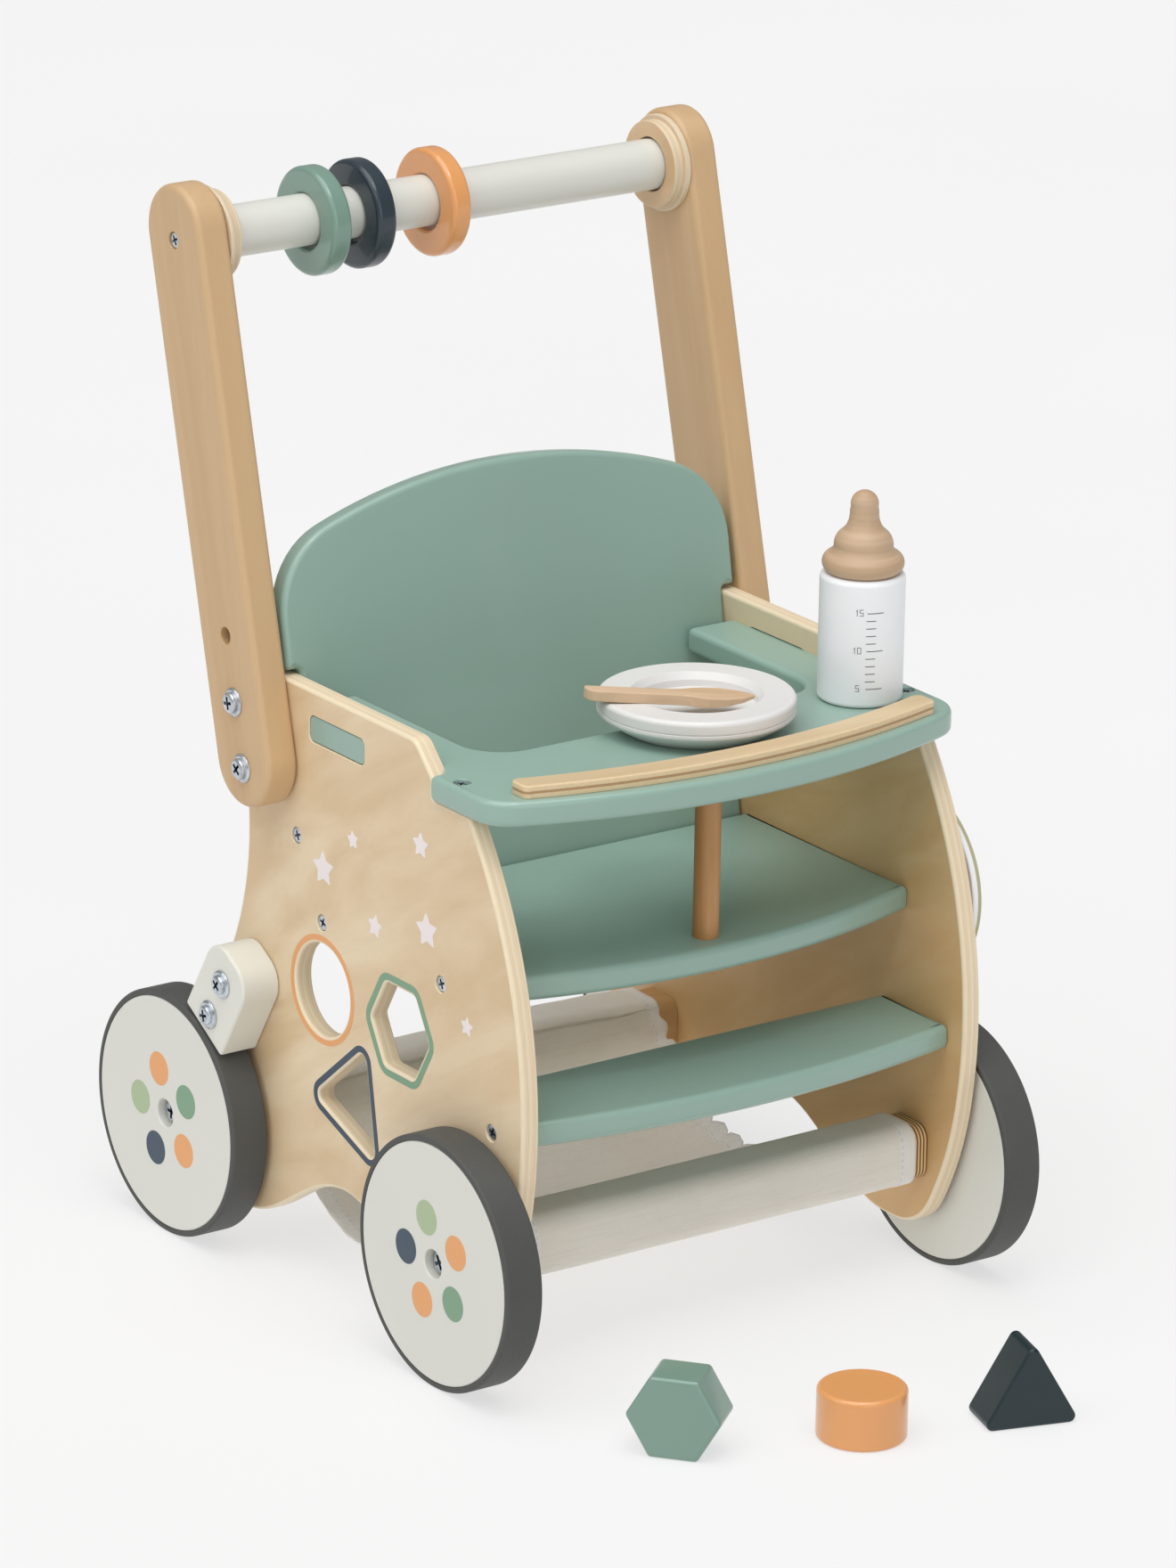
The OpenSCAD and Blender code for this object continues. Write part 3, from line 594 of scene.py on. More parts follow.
PANEL_FACE = wood("panel_face", PANEL_LIGHT, PANEL_DARK, **SAWN)
# Inner faces: a darker, warmer copy of the panel wood as painted shade, fading to the panel's light colour
# between 0.235 and 0.285 m up, where they are lit.
PANEL_INNER_SHADED = wood("panel_inner_painted_shade", rgb(224, 190, 140), rgb(212, 172, 118),
    above=(0.235, 0.285, PANEL_LIGHT), **SAWN)
PANEL_EDGE = wood("panel_edge", PANEL_LIGHT, PANEL_DARK, (300, 9, 9), layers=(0, *PANEL_X, PLY_BANDS))
COLLAR_FACE = wood("collar_face", rgb(219, 189, 151), rgb(207, 173, 132), **SAWN)
COLLAR_EDGE = wood("collar_edge", PANEL_LIGHT, rgb(205, 170, 128), (300, 9, 9),
    layers=(0, *COLLAR_X, COLLAR_BANDS))
FRONT_BAR = wood("crossbar_ply", BAR_LIGHT, BAR_LINE, (420, 12, 12), roughness=0.6, coat=0,
    layers=(0, *BAR_END_X, BAR_BANDS))
REAR_BAR = wood("rear_bar_ply", rgb(204, 164, 112), rgb(190, 148, 96), (12, 60, 60), roughness=0.6, coat=0)
ARM_WOOD = wood("arm_beech", rgb(206, 173, 131), rgb(199, 165, 122), (45, 60, 3.2), turn=(ARM_LEAN, 0, 0),
    blotch=0.25, pore=0.96)
POST_WOOD = wood("post_beech", rgb(190, 142, 88), rgb(174, 124, 72), (70, 70, 6), roughness=0.5)
TEAT_WOOD = wood("teat_beech", rgb(203, 177, 148), rgb(187, 157, 125), (6, 6, 190), roughness=0.5, coat=0.05,
    blotch=0.25, pore=0.96)
KNIFE_WOOD = wood("knife_beech", rgb(218, 189, 158), rgb(204, 172, 137), (14, 120, 120),
    turn=(0, 0, 0.54), roughness=0.5, coat=0.05)
RAIL_WOOD = wood("rail_face", rgb(217, 194, 157), rgb(207, 181, 141), (5, 80, 80), pore=0.96)
RAIL_CORE = wood("rail_core", RAIL_LIGHT, RAIL_LINE, (8, 160, 160), pore=0.97,
    layers=(2, *RAIL_Z, RAIL_BANDS))
BOARD_PAINT = paint("sage_board", rgb(145, 174, 162), 0.4, 0.45, coat_roughness=0.08, depth=0.05 * MM)
WHEEL_PAINT = paint("wheel_paint", rgb(220, 220, 212), 0.45)
BRAKE_PAINT = paint("brake_paint", rgb(226, 225, 215), 0.4, 0.1)
BAR_PAINT = paint("bar_paint", rgb(217, 217, 209), 0.36, 0.15)
GLOSS = {"coat_roughness": 0.04, "peel": 60, "depth": 0.02 * MM}
TOY_PAINTS = {
    "green": paint("ring_green_paint", rgb(117, 148, 134), 0.3, 0.6, **GLOSS),
    "navy": paint("ring_navy_paint", rgb(34, 49, 59), 0.36, 0.35, **GLOSS),
    "orange": paint("ring_orange_paint", rgb(226, 157, 94), 0.3, 0.6, **GLOSS),
}
# A darker copy of the rings' navy paint for the triangle block: painted shade.
BLOCK_NAVY_SHADED = paint("block_navy_painted_shade", rgb(3, 33, 41), 0.36, 0.12, **GLOSS)
PRINTS = {name: paint(f"print_{name}", rgb(*colour), 0.5) for name, colour in {
    "light_sage": (172, 190, 152), "green": (126, 162, 132), "navy": (62, 78, 94), "orange": (232, 166, 108),
    "grey": (92, 90, 88)}.items()}
STAR_PRINT = paint("print_star", rgb(240, 231, 230), 0.55)
OLIVE = paint("disc_rim", rgb(178, 176, 140), 0.45)
WHITE_PAINT = paint("white_paint", rgb(240, 242, 245), 0.38, 0.1)
# A darker copy of the white paint for the plate, whose top faces up into more light: painted shade.
PLATE_WHITE_SHADED = paint("plate_paint", rgb(226, 225, 223), 0.38, 0.1)
TYRE = rubber("tyre_rubber", rgb(78, 79, 77))
COTTON = canvas("cotton", rgb(248, 238, 222), rgb(247, 244, 238))
STEEL = zinc("zinc_steel", rgb(210, 216, 221), rgb(170, 178, 186))
# A darker copy of the zinc for the screws' cross recesses: painted shade.
RECESS_SHADE = zinc("zinc_recess_painted_shade", rgb(96, 106, 118), rgb(62, 70, 80))


# ---- shared sizes ----

PANEL_IN, PANEL_OUT = PANEL_X
ARM_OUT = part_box("handle_arm_right")[1].x
WHEEL_IN, WHEEL_OUT = (corner.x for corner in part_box("wheel_disc_front_right"))
BAR_AT = middle_yz("handlebar")
AXLE_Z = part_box("tyre_front_left")[1].z / 2
SIDES = {"left": -1, "right": 1}


def yz(y, z):
    """A (y, z) point given in millimetres from the middle of the wheelbase and the floor."""
    return BASE_Y + y * MM, z * MM


LEAST_HOLE = 4e-4  # square metres: smaller outlines in a panel are screw holes
HEAD_DEPTH = 2.6 * MM
LOW_BOLT = yz(53, 244)
TAB_AT = yz(1.1, 269)
SIDE_SCREWS = [yz(*p) for p in ((33.6, 214.4), (12.4, 178.6), (-83.2, 178.6), (-124.2, 121.2), (86, 60.5))]


# ---- side panels and their prints ----

def make_panel(name, side):
    node = f"side_panel_{name}"
    frame = outward(side)
    loops, low, high = outlines(node, frame)
    screws = [on_side(side, *p) for p in SIDE_SCREWS]
    tab = [on_side(side, *TAB_AT)]
    through = [(loop, 0.3 * MM if near(loop, tab) else 1.3 * MM)
               for loop in loops[1:] if abs(area(loop)) > LEAST_HOLE]
    sunk = [(loop, HEAD_DEPTH) for loop in loops[1:] if near(loop, screws)]
    # The low cap is the inner face. It takes the third material, which carries painted shade.
    shape = prism(frame, fillet(loops[0], radius=2 * MM), low, high, 1.6 * MM, through, sunk, low_slot=2)
    piece(f"panel_{name}", shape, [PANEL_FACE, PANEL_EDGE, PANEL_INNER_SHADED], [node], "panel_ply")


def print_on(frame, outer, level, holes=(), thickness=0.12 * MM):
    """A thin coat of ink that stands proud of a face at level."""
    holes = [(hole, 0) for hole in holes]
    return prism(frame, outer, level - 0.3 * MM, level + thickness, 0, holes, side_slot=0)


def make_side_prints():
    def at(y, z):
        return on_side(-1, *yz(y, z))

    # name, ink, centre (y, z), sides, turn, then radius and corner of the border's outer and inner outline
    borders = (("hexagon", "green", (-51.5, 146.6), 6, 90, (28.4, 9), (24.6, 5.5)),
               ("triangle", "navy", (-12.9, 99.7), 3, 100, (39.2, 8), (33.2, 5)))
    loops = [("round", "orange", *(circle(at(11.4, 146.6), r * MM, 72) for r in (26, 23.4)))]
    for name, colour, centre, sides, turn, *rims in borders:
        loops.append((name, colour, *(polygon(at(*centre), [r * MM], sides, turn, c * MM) for r, c in rims)))
    for name, colour, outer, inner in loops:
        shape = print_on(LEFT, outer, PANEL_OUT, [inner])
        piece(f"sorter_border_{name}", shape, [PRINTS[colour]], slot="panel_ply")
    stars = Shape()
    for y, z, size, turn in ((-12.6, 225.7, 9.5, 8), (-66.6, 239, 13, 0), (11.2, 205.1, 17.5, 4),
                             (-31, 190.1, 12, -6), (-72.2, 200.4, 17.5, 6), (-104.4, 165, 10, -4)):
        star = polygon(at(y, z), (0.5 * size * MM, 0.27 * size * MM), 10, turn, 0.5 * MM)
        stars.add(print_on(LEFT, star, PANEL_OUT))
    piece("panel_stars", stars, [STAR_PRINT], slot="panel_ply")


# ---- boards and crossbars ----

def make_boards():
    lean = math.radians(10.5)
    v = Vector((0, math.sin(lean), math.cos(lean)))
    for node, frame, radius in (("backrest", (X, v, X.cross(v)), 3), ("seat_board", UP, 3.4),
                                ("footrest_board", UP, 3.4)):
        sawn(f"{node}_painted", node, frame, BOARD_PAINT, "sage_board", radius * MM, 2 * MM)
    for node, finish in (("front_crossbar", FRONT_BAR), ("rear_crossbar", REAR_BAR)):
        sawn(f"{node}_bare", node, RIGHT, finish, "bare_ply", 0.4 * MM)


TRAY_SCREWS = [Vector((x * MM, yz(-92, 0)[0])) for x in (-122.5, 122.5)]


def make_tray():
    loops, low, high = outlines("tray", UP)
    hidden = PANEL_IN + 3.2 * MM
    wings_end = yz(-60, 0)[0]

    def into_panel(p):
        """The long sides end inside the panels, so that their rounded edges don't show."""
        beside = abs(p.x) > PANEL_IN - 1 * MM and (p.y > wings_end or abs(p.x) < PANEL_IN)
        return Vector((math.copysign(hidden, p.x), p.y)) if beside else p

    outer = [into_panel(p) for p in loops[0]]
    pockets = [(loop, HEAD_DEPTH) for loop in loops[1:] if near(loop, TRAY_SCREWS)]
    shape = prism(UP, fillet(clean(outer), radius=3.2 * MM), low, high, 3 * MM, pockets=pockets)
    for side in SIDES.values():
        end = oblong(on_side(side, *TAB_AT), on_side(side, 44 * MM, 12 * MM), 3.1 * MM)
        shape.add(prism(outward(side), end, PANEL_IN + 1.5 * MM, PANEL_OUT - 0.3 * MM, 0.7 * MM))
    piece("tray_painted", shape, [BOARD_PAINT], ["tray"], "sage_board")


def make_rail():
    loops, low, high = outlines("tray_rail", UP)
    shape = prism(UP, loops[0], low, high, 0.9 * MM, low_radius=0.3 * MM)
    piece("rail_bent", shape, [RAIL_WOOD, RAIL_CORE], ["tray_rail"], "rail_ply")


# ---- cloth sling ----

def tunnel(centre, inner, leave):
    """The cloth's way round a bar, as (y, z) points: from where it leaves the bar's top inner corner over
    the top, down the outer face, under, and up the inner face. inner is +1 or -1, towards the basket."""
    half, corner, rise = 14.3 * MM, 7.8 * MM, 2 * MM
    flat = half - corner
    points = []
    for quarter, (sy, sz) in enumerate(((1, 1), (-1, 1), (-1, -1), (1, -1))):
        first = 90 * quarter if quarter else leave
        bend = [Vector(p) for p in arc((sy * flat, sz * flat), corner, first, 90 * quarter + 90, 8)]
        if points:
            points += [points[-1].lerp(bend[0], k / 6) for k in range(1, 6)]
        points += bend
    points += [points[-1].lerp(Vector((half, rise)), k / 4) for k in range(1, 5)]
    return [Vector((centre[0] + inner * p.x, centre[1] + p.y)) for p in points]


def sling_path():
    """(y, z) points along the cloth, and for each how far it hangs free, from 0 on a bar to 1 half-way."""
    front = tunnel(middle_yz("front_crossbar"), 1, 42)
    rear = tunnel(middle_yz("rear_crossbar"), -1, 31)
    low_y, low_z = yz(5, 20.5)
    band = []
    count = 84
    for k in range(1, count):
        y = front[0].x + (rear[0].x - front[0].x) * (0.5 - 0.5 * math.cos(math.pi * k / count))
        end = front[0] if y < low_y else rear[0]
        z = low_z + (end.y - low_z) * abs((y - low_y) / (end.x - low_y)) ** 2.3
        band.append(Vector((y, z)))
    path = front[::-1] + band + rear
    free = [0] * len(front) + [math.sin(math.pi * k / count) for k in range(1, count)] + [0] * len(rear)
    return path, free


RIPPLE = 12.5 * MM


def ramped(value, start, length):
    return min(1, max(0, (value - start) / length))


def make_sling():
    path, free = sling_path()
    bar_z = middle_yz("rear_crossbar")[1]
    leave_y = max(p.x for p, hang in zip(path, free) if hang > 0)
    columns = 131
    travelled = [0]
    for a, b in zip(path, path[1:]):
        travelled.append(travelled[-1] + (b - a).length)
    shape = Shape()
    uvs = []
    for j, p in enumerate(path):
        before, after = path[max(0, j - 1)], path[min(len(path) - 1, j + 1)]
        along = (after - before).normalized()
        normal = Vector((0, along.y, -along.x))
        s, hang = travelled[j], free[j]

        def drift(a, b, c):
            return noise.noise(Vector((a, s * b, c)))

        for i in range(columns):
            x = -CLOTH_HALF + 2 * CLOTH_HALF * i / (columns - 1)
            side = 1 if x > 0 else -1
            edge, frill = ramped(abs(x), 70 * MM, 40 * MM), ramped(abs(x), 92 * MM, 18 * MM)
            broad, creases = drift(x * 17, 30, 3.1) * 1.6 * MM, drift(x * 8, 95, 7.7) * 0.9 * MM
            ruffle = math.sin(s * math.tau / RIPPLE + 2.2 * drift(side * 5, 40, 0))
            gather = drift(side * 9, 60, 1.7)
            off = -hang * (broad + creases + 1.2 * MM)
            loose = min(1, hang / 0.45) ** 2
            curl, frilled, wave = (v * MM for v in ((6.5, 1.5, 2) if side > 0 else (0.5, 0.2, 0.3)))
            lift = hang ** 0.5 * curl * edge * edge + loose * frill * frilled * (ruffle + gather)
            sway = math.sin(s * math.tau / RIPPLE + 1.4)
            sideways = side * (loose * frill * wave * sway - hang ** 0.5 * 2 * MM * edge)
            if hang == 0:
                tight = drift(x * 22, 55, 0.4)
                off = 0.3 * MM * (1 + tight + ramped(abs(x), CLOTH_HALF - HEM, 1 * MM))
                crown = ramped(p.y, bar_z, 10 * MM)
            else:
                crown = max(0, 1 - (leave_y - p.x) / (22 * MM))
                crown *= crown * (3 - 2 * crown)
            if p.x > BASE_Y:
                lift += crown * 3.2 * MM * (1 - ramped(abs(x), 49 * MM, 59 * MM))
                lift += crown * 0.9 * MM * drift(x * 45, 60, 5.2)
                sideways -= side * crown * 3 * MM * edge ** 3
            shape.point(Vector((x + sideways, p.x, p.y)) - normal * off + Z * lift)
            uvs.append((x, s))
    for j in range(len(path) - 1):
        for i in range(columns - 1):
            a = j * columns + i
            shape.face((a, a + 1, a + columns + 1, a + columns))
    obj = piece("cotton_sling", shape, [COTTON], ["basket_sling"], "canvas", sharp=180)
    layer = obj.data.uv_layers.new(name="threads")
    for loop in obj.data.loops:
        layer.data[loop.index].uv = uvs[loop.vertex_index]
    obj.modifiers.remove(obj.modifiers["weighted_normals"])
    solid = obj.modifiers.new("thickness", "SOLIDIFY")
    solid.thickness, solid.offset = 0.6 * MM, 0


# ---- fixings ----

def cross_loop(reach, half):
    """A cross with slightly flared arms, anticlockwise."""
    points = []
    for k in range(4):
        turn = Matrix.Rotation(math.pi / 2 * k, 2)
        points += [turn @ Vector(p) for p in ((half, half), (reach, half), (reach, -half))][::-1]
    return oriented(points)


def screw(frame, at, seat, head, shank, turn):
    """A pan or flat head with a cross recess, and its shank. seat is the head's underside along n.
    head is (radius, thickness, dome) and shank (radius, length), in millimetres."""
    head_r, head_t, dome = (v * MM for v in head)
    shank_r, shank_l = (v * MM for v in shank)
    spin = Matrix.Rotation(turn, 2)
    shape = Shape(frame)
    reach, half, sink = head_r * 0.62, head_r * 0.15, head_t * 0.75
    top = seat + head_t
    rings = [shape.ring(circle(at, radius, 40), level) for radius, level in (
        (head_r * 0.72, top), (head_r * 0.88, top - dome * 0.35), (head_r * 0.97, top - dome * 0.8),
        (head_r, top - dome * 1.3), (head_r, seat), (shank_r, seat),
        (shank_r, seat - shank_l + shank_r * 0.6), (shank_r * 0.3, seat - shank_l))]
    shape.loft(rings, 0)
    shape.face(rings[-1])
    mouth = shape.ring([at + spin @ p for p in cross_loop(reach, half)][::-1], top)
    floor = shape.ring([at + spin @ (p * 0.62) for p in cross_loop(reach, half * 0.9)][::-1], top - sink)
    # The recess walls and floor take the second material, the darker zinc that paints their shade.
    shape.bridge(mouth, floor, 1)
    shape.cap([floor], 1)
    shape.cap([rings[0], mouth])
    return shape


def placed(frame, at):
    return frame[0] * at[0] + frame[1] * at[1]


def cup_washer(frame, at, seat, hole):
    """The ring under a screw's head, for a hole of that radius in millimetres."""
    outline = profile([(hole, 1.5, 0.2), (hole, 0, 0.1), (6.7, 0, 0.1), (6.7, 0.675, 0.3),
                       (5.762, 1.5, 0.4)], seat)
    return lathe(frame, placed(frame, at), outline, steps=48)


def arm_point(distance):
    d = Vector((BAR_AT[0] - LOW_BOLT[0], BAR_AT[1] - LOW_BOLT[1])).normalized()
    return LOW_BOLT[0] + d.x * distance, LOW_BOLT[1] + d.y * distance


BOLTS = [arm_point(0), arm_point(30.4 * MM)]
BRAKE_SCREWS = [polar((yz(111, 0)[0], AXLE_Z), reach * MM, 120.75) for reach in (69.6, 90.6)]
BRAKE_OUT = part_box("brake_block_right")[1].x
SPIN_AT = Vector(yz(-91.5, 181.3))
AXLES = [yz(y, 59) for y in (-111, 111)]
FLAT_HEAD = (3.8, 1.9, 0.4)


def steel(name, node, fixings):
    shape = Shape()
    for fixing in fixings:
        shape.add(fixing)
    piece(name, shape, [STEEL, RECESS_SHADE], [node], "zinc_steel", sharp=32)


def make_fixings():
    both, tray_top, disc_top = (-1, 1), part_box("tray")[1].z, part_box("activity_disc")[1].x
    # name, CAD node, places, height of the head's underside, head and shank as in screw() but with a length
    # for each place, the first one's turn, the turn from one to the next and from side to side, sides
    screws = [
        ("arm_bolts", "handle_bolts", BOLTS, ARM_OUT + 1 * MM, (4.9, 2.6, 0.9), (3, 28, 28),
         0.3, 0.9, 1, both),
        ("bar_end_screws", "handlebar_screws", [BAR_AT], ARM_OUT - 2.6 * MM, (3.8, 1.8, 0.3), (2, 36),
         0.5, 0, 0, both),
        ("axle_bolts_cross", "axle_bolts", AXLES, WHEEL_OUT - 6.7 * MM, (5.7, 3.2, 0.9), (3, 52, 33),
         0.5, 1, 0, both),
        ("brake_bolts", "brake_screws", BRAKE_SCREWS, BRAKE_OUT + 1 * MM, (4.6, 2.4, 0.9), (2.5, 24, 24),
         0.2, 0.7, 0, both),
        ("tray_screws_cross", "tray_screws", TRAY_SCREWS, tray_top - HEAD_DEPTH, FLAT_HEAD, (2, 27, 27),
         0.6, 1, 0, [None]),
        ("disc_screw_cross", "activity_disc_screw", [SPIN_AT], disc_top + 0.3 * MM, (7, 2.5, 1), (2, 14),
         0.4, 0, 0, [1])]
    screws += [(f"side_screws_{name}", f"panel_screws_{name}", SIDE_SCREWS, PANEL_OUT - HEAD_DEPTH, FLAT_HEAD,
                (2, *[31] * len(SIDE_SCREWS)), 0.4, 0.8, 0, [side]) for name, side in SIDES.items()]
    for name, node, places, seat, head, (shank, *lengths), first, step, swing, sides in screws:
        fixings = []
        for side in sides:
            for k, p in enumerate(places):
                frame, at = (outward(side), on_side(side, *p)) if side else (UP, p)
                turn = first + step * k + swing * (side or 0)
                fixings.append(screw(frame, at, seat, head, (shank, lengths[k]), turn))
        steel(name, node, fixings)
    for name, node, places, seat, hole in (
            ("arm_washers", "handle_cup_washers", BOLTS, ARM_OUT, 3.1),
            ("brake_washers", "brake_cup_washers", BRAKE_SCREWS, BRAKE_OUT + 0.1 * MM, 2.6)):
        steel(name, node, [cup_washer(outward(side), on_side(side, *p), seat, hole)
                           for side in both for p in places])


# ---- handle ----

def make_arm(name, side):
    node = f"handle_arm_{name}"
    frame = outward(side)
    loops, low, high = outlines(node, frame)
    spare = [on_side(side, *arm_point(60.8 * MM))]
    bar_end = [on_side(side, *BAR_AT)]
    holes = [(loop, 0.5 * MM) for loop in loops[1:] if near(loop, spare)]
    pockets = [(loop, 4 * MM) for loop in loops[1:] if near(loop, bar_end)]
    shape = prism(frame, loops[0], low, high, 3 * MM, holes, pockets)
    piece(f"arm_{name}", shape, [ARM_WOOD], [node], "beech")
    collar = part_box(f"handle_collar_{name}")
    inner, outer = sorted((abs(collar[0].x), abs(collar[1].x)))
    width = (outer - inner) / MM
    outline = profile([(12.9, 0, 0.5), (20.6, 0, 0.8), (20.6, width - 2.6, 0.4), (23, width - 2.6, 0.9),
                       (23, width, 0.3), (12.9, width, 0.3)], inner)
    shape = lathe(frame, placed(frame, bar_end[0]), outline,
                  slot_of=lambda p: 0 if p.y < inner + 0.3 * MM else 1)
    piece(f"collar_{name}", shape, [COLLAR_FACE, COLLAR_EDGE], [f"handle_collar_{name}"], "bare_ply")


def make_rings():
    for name, slot in (("green", "sage"), ("navy", "navy"), ("orange", "orange")):
        low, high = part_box(f"ring_{name}")
        centre = Vector((0, *middle_yz(f"ring_{name}")))
        outer, bore, width = (high.z - low.z) / 2 / MM, 13, (high.x - low.x) / MM
        points = [(bore, 0, 1.6), (outer, 0, 2.6), (outer, width, 2.6), (bore, width, 1.6)]
        turned(f"bead_{name}", f"ring_{name}", RIGHT, centre, points, low.x, TOY_PAINTS[name],
               f"{slot}_gloss", f"sliding_ring_{name}")


# ---- wheels ----

DOTS = {"front": ("navy", "light_sage", "orange", "green", "orange"),
        "rear": ("light_sage", "orange", "green", "orange", "navy")}


def make_wheel(axle, name, side):
    wheel = f"wheel_{axle}_{name}"
    frame = outward(side)
    y = yz(-111 if axle == "front" else 111, 0)[0]
    centre = placed(frame, on_side(side, y, AXLE_Z))
    width = (WHEEL_OUT - WHEEL_IN) / MM
    bore, recess, disc_r, tyre_r = 5.06, 6.7, 55.97, 59
    points = [(bore, 0, 0), (disc_r, 0, 0.8), (disc_r, width, 0.9), (recess, width, 0.8),
              (recess, width - 7, 0.3), (bore, width - 7, 0)]
    turned(f"{wheel}_disc", f"wheel_disc_{axle}_{name}", frame, centre, points, WHEEL_IN, WHEEL_PAINT,
           "cream_paint", wheel)
    seat_r = disc_r + 0.05
    points = [(seat_r, 0, 0.3), (tyre_r, 0, 2), (tyre_r, width, 2), (seat_r, width, 0.35)]
    turned(f"{wheel}_tyre", f"tyre_{axle}_{name}", frame, centre, points, WHEEL_IN, TYRE, "tyre_rubber",
           wheel, steps=160)
    dots = Shape()
    for k, colour in enumerate(DOTS[axle]):
        spot = on_side(side, *polar((y, AXLE_Z), 21.2 * MM, 4 + 72 * k))
        dots.add(print_on(frame, circle(spot, 8.1 * MM, 56), WHEEL_OUT, thickness=0.1 * MM), k)
    piece(f"{wheel}_dots", dots, [PRINTS[c] for c in DOTS[axle]], slot="cream_paint", body=wheel)


def make_activity_disc():
    low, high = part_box("activity_disc")
    r, width, bore, band = (high.z - low.z) / 2 / MM, (high.x - low.x) / MM, 5.06, 2.4
    outline = profile([(bore, 0, 0), (r, 0, 1), (r, width - band, 0), (r, width, 1), (bore, width, 0)], low.x)
    shape = lathe(RIGHT, placed(RIGHT, SPIN_AT), outline, steps=128,
                  slot_of=lambda p: 1 if p.x > (r - 1.2) * MM and p.y > high.x - band * MM else 0)
    for k in range(6):
        spot = polar(SPIN_AT, 27 * MM, 60 * k)
        shape.add(print_on(RIGHT, circle(spot, 9 * MM, 48), high.x, thickness=0.1 * MM), 2 + k % 3)
    piece("spin_disc_painted", shape, [WHITE_PAINT, OLIVE, PRINTS["green"], PRINTS["orange"], PRINTS["navy"]],
          ["activity_disc"], "disc_paint", "spin_disc")


# ---- play set ----

def patch(centre, radius, first, last, low, high):
    """A thin curved mark on an upright cylinder, between two angles and two heights."""
    shape = Shape()
    steps = max(1, round(abs(last - first) / 3))
    a, b, c, d = ([shape.point((*p, z)) for p in arc(centre, r, first, last, steps)]
                  for r in (radius, radius + 0.07 * MM) for z in (low, high))
    for k in range(steps):
        for p, q in ((c, d), (a, c), (b, d), (a, b)):
            shape.face((p[k], p[k + 1], q[k + 1], q[k]))
    shape.face((a[0], c[0], d[0], b[0]))
    shape.face((a[-1], c[-1], d[-1], b[-1]))
    return shape


# Each digit is a row of strokes, and each stroke runs from (x, z) to (x, z) in a box of 1 by 1.
DIGITS = {"0": "abcdef", "1": "hi", "5": "afgcd"}
STROKES = {"a": (0, 1, 1, 1), "b": (1, 0.5, 1, 1), "c": (1, 0, 1, 0.5), "d": (0, 0, 1, 0),
           "e": (0, 0, 0, 0.5), "f": (0, 0.5, 0, 1), "g": (0, 0.5, 1, 0.5), "h": (0.55, 0, 0.55, 1),
           "i": (0.25, 0.8, 0.55, 0.8)}


def make_bottle():
    foot, r, h = round_box("bottle_body")
    neck, depth = 5.95, 9.5
    points = [(0, 0), (r, 0, 2.2), (r, h, 2.6), (neck, h), (neck, h - depth), (0, h - depth)]
    turned("bottle_painted", "bottle_body", UP, foot, points, 0, WHITE_PAINT, "white_paint", "bottle",
           closed=False)
    bead, bell = arc((13.9, 4.5), 4.9, -70, 78, 14), arc((5.2, 12.6), 8.4, -6, 58, 10)
    *tip, (_, top) = arc((0, 31.8), 6.4, -12, 90, 12)
    marks = [(0, -9), (5.9, -9), (5.9, 0), (14.2, 0), *bead, *bell,
             (8.1, 21.6), (7, 24.4), (6.7, 26.6), (6.6, 29), *tip, (0, top)]
    piece("teat_turned", lathe(UP, foot + Z * h * MM, [Vector(p) * MM for p in marks], closed=False),
          [TEAT_WOOD], ["bottle_teat"], "toy_beech", "bottle", sharp=50)


def make_bottle_scale():
    """Eleven lines with 5, 10 and 15 beside them. Angles are in degrees round the bottle."""
    foot, r, _ = round_box("bottle_body")
    scale = Shape()
    facing, level_step, first_level, line = -125.3, 3.58 * MM, foot.z + 9.4 * MM, 0.37 * MM

    def mark(first, last, low, high):
        scale.add(patch(foot, r * MM, facing + first, facing + last, low, high))

    for k in range(11):
        level = first_level + k * level_step
        mark(*((5.5, 28) if k % 5 == 0 else (4.4, 17.6)), level, level + line)
    width, pitch, height, pen, pen_turn = 4.4, 6.1, 2.8 * MM, 0.27 * MM, 0.8
    for text, k, start in (("5", 0, -8.2), ("10", 5, -13), ("15", 10, -10.9)):
        base = first_level + k * level_step - 1 * MM
        for position, digit in enumerate(text):
            left = start + pitch * position
            for x0, z0, x1, z1 in (STROKES[stroke] for stroke in DIGITS[digit]):
                mark(left + x0 * width, left + x1 * width + pen_turn,
                     base + z0 * height, base + z1 * height + pen)
    piece("bottle_scale", scale, [PRINTS["grey"]], slot="white_paint", body="bottle")


def make_plate():
    foot, r, h = round_box("plate")
    points = [(0, 0), (33.5, 0, 1.5), (r - 1.2, h - 9.5, 1.5), (r, h - 8, 1), (r, h - 6.6, 0.3),
              (r - 0.5, h - 6.2, 0.1), (r, h - 5.8, 0.3), (r, h, 2.4), (30.2, h, 0.5), (27.7, h - 3.2, 0.1),
              (27.4, h - 6.4, 0.3), (0, h - 6.4)]
    turned("plate_painted", "plate", UP, foot, points, 0, PLATE_WHITE_SHADED, "white_paint", "dish", 160, False, 45)


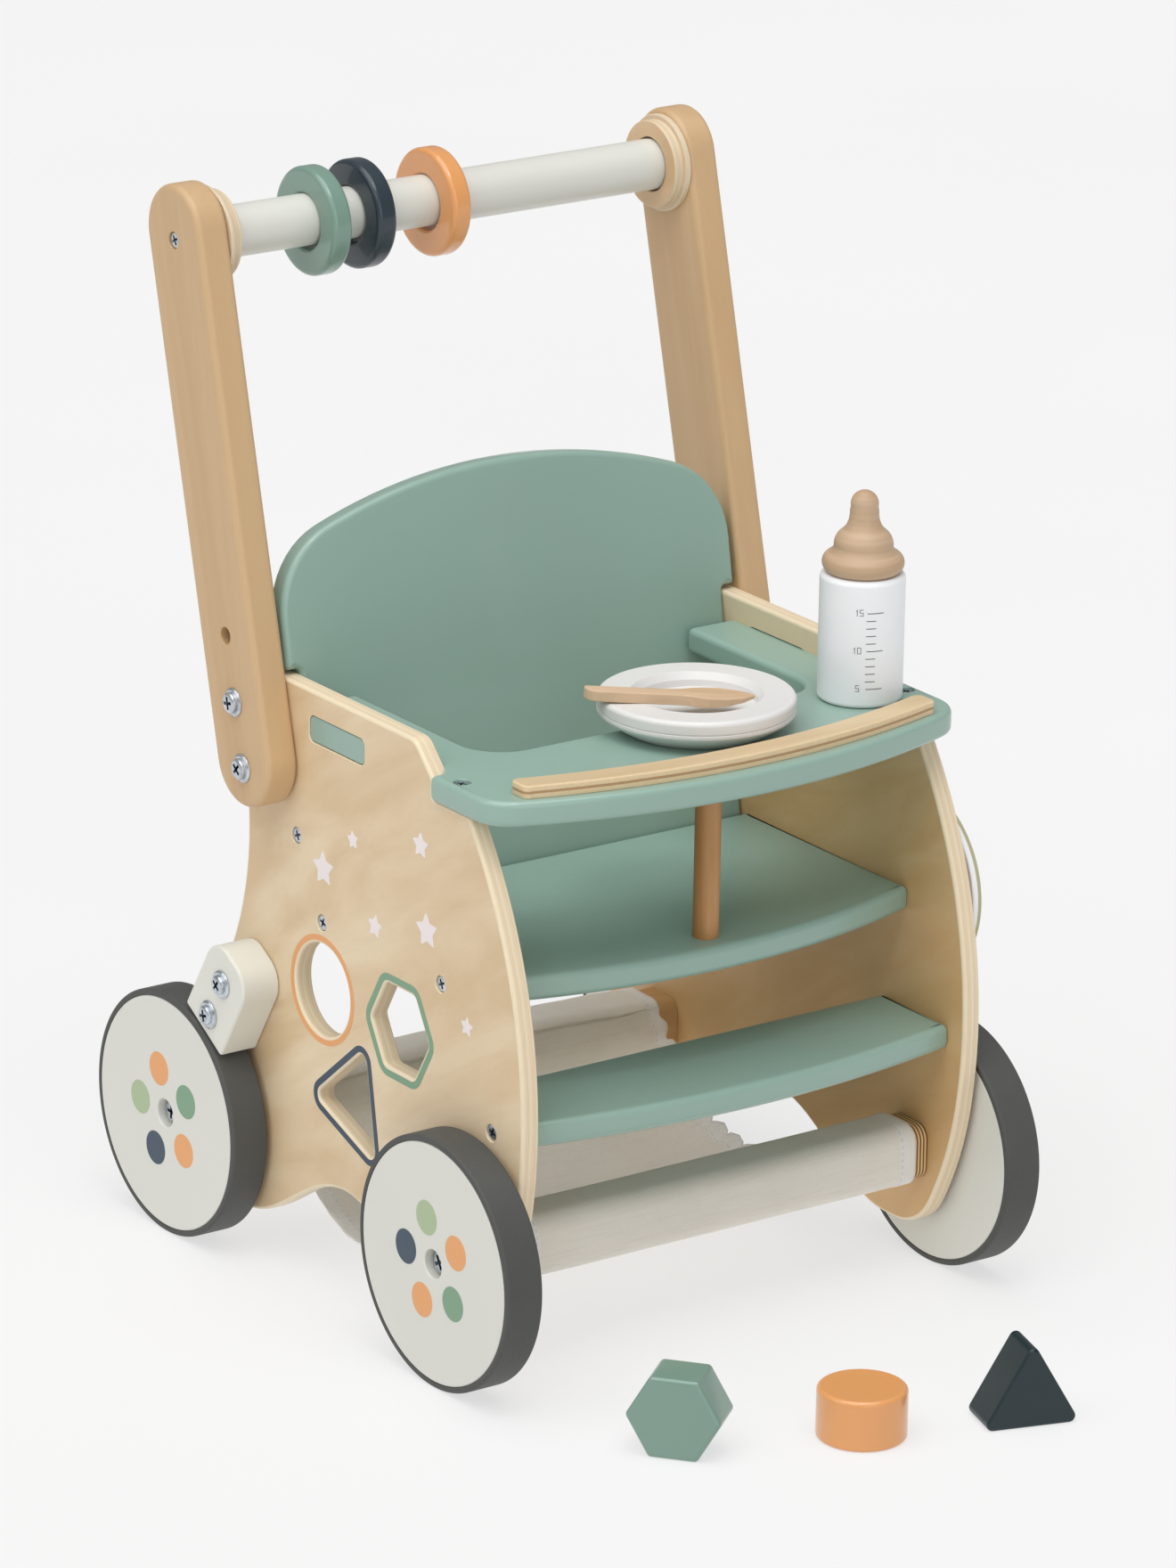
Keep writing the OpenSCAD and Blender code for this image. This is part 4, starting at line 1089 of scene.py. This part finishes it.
def make_knife():
    """The blade's underside rises towards the tip, so that it is thinnest there."""
    turn, tilt = math.radians(-31), math.radians(3.1)
    rotation = Matrix.Rotation(turn, 3, "Z") @ Matrix.Rotation(tilt, 3, "Y")
    frame = tuple(rotation @ axis for axis in UP)
    loops, low, high = outlines("knife", frame)
    shape = prism(frame, fillet(loops[0], radius=1.6 * MM, least_turn=8), low, high, 0.5 * MM)
    tip = max(p.x for p in loops[0])
    thinnest, taper = 0.2, 32 * MM
    for i, v in enumerate(shape.verts):
        far = min(1, (tip - v.dot(frame[0])) / taper)
        thinner = 1 - (thinnest + (1 - thinnest) * far * (2 - far))
        shape.verts[i] = v + frame[2] * (high - v.dot(frame[2])) * thinner
    piece("knife_carved", shape, [KNIFE_WOOD], ["knife"], "toy_beech", "cutlery")


def make_blocks():
    for node, body, finish, slot, turn, radius in (
            ("block_hexagon", "hexagon_piece", TOY_PAINTS["green"], "sage_gloss", 39.5, 2),
            ("block_triangle", "triangle_piece", BLOCK_NAVY_SHADED, "navy_gloss", 73.5, 1.4)):
        rotation = Matrix.Rotation(math.radians(turn), 3, "Z")
        frame = tuple(rotation @ axis for axis in RIGHT)
        sawn(f"{node}_painted", node, frame, finish, slot, radius * MM, body=body)
    foot, r, h = round_box("block_cylinder")
    turned("block_cylinder_painted", "block_cylinder", UP, foot, [(0, 0), (r, 0, 2), (r, h, 2.2), (0, h)], 0,
           TOY_PAINTS["orange"], "orange_gloss", "cylinder_piece", closed=False)


# ---- floor and light ----

def make_stage():
    mesh = bpy.data.meshes.new("floor")
    mesh.from_pydata([(-12, -12, 0), (12, -12, 0), (12, 12, 0), (-12, 12, 0)], [], [(0, 1, 2, 3)])
    floor = link(bpy.data.objects.new("floor", mesh))
    f = Finish("floor_paper", Roughness=0.9, Specular_IOR_Level=0.1, Emission_Color=(1, 1, 1, 1),
               Emission_Strength=0.65)
    f.set(Base_Color=f.mix(f.span(f.noise(3, 2), 0.3, 0.7), (0.24, 0.24, 0.24, 1), (0.25, 0.25, 0.25, 1)))
    mesh.materials.append(f.material)
    bpy.context.scene.world = world = bpy.data.worlds.new("studio")
    world.use_nodes = True
    sky = world.node_tree.nodes["Background"].inputs
    sky["Color"].default_value, sky["Strength"].default_value = (1, 1, 1, 1), 0.3
    # name, kind, place, angle or size, strength
    for name, kind, place, size, power in (
            ("top", "SUN", (-0.4, -0.3, 3), math.radians(60), 1.75),
            ("key", "SUN", (-2.4, 0.3, 2.4), math.radians(50), 0.6),
            ("front", "SUN", (-0.6, -2.3, 0.9), math.radians(40), 0.45),
            ("glint", "AREA", (-2.2, -1.6, 2.4), 0.6, 6),
            ("overhead", "AREA", (-0.3, -0.7, 2.5), 0.45, 5)):
        data = bpy.data.lights.new(name, kind)
        data.energy = power
        setattr(data, "angle" if kind == "SUN" else "size", size)
        lamp = link(bpy.data.objects.new(name, data))
        lamp.location = place
        lamp.rotation_euler = (Vector((0, 0, 0.2)) - Vector(place)).to_track_quat("-Z", "Y").to_euler()
    bpy.context.scene.view_settings.view_transform = "Standard"


# ---- the whole walker ----

def dress(nodes, material):
    """A CAD node whose shape is right keeps it and gets this material."""
    for name in nodes:
        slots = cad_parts[name].data.materials
        slots.clear()
        slots.append(material)


for side_name, sign in SIDES.items():
    make_panel(side_name, sign)
    make_arm(side_name, sign)
    sawn(f"brake_{side_name}_painted", f"brake_block_{side_name}", outward(sign), BRAKE_PAINT, "cream_paint",
         1.4 * MM, 1.5 * MM, hole_edge=0.2 * MM, body=f"brake_{side_name}")
    for axle_name in ("front", "rear"):
        make_wheel(axle_name, side_name, sign)
for make in (make_side_prints, make_boards, make_tray, make_rail, make_sling, make_fixings, make_rings,
             make_activity_disc, make_bottle, make_bottle_scale, make_plate, make_knife, make_blocks):
    make()
dress(["handlebar"], BAR_PAINT)
dress(["crotch_post", "activity_disc_spacer"], POST_WOOD)
dress(["handle_nuts", "axle_bushes", "axle_washers", "front_axle_inserts", "rear_axle_nuts"], STEEL)
make_stage()
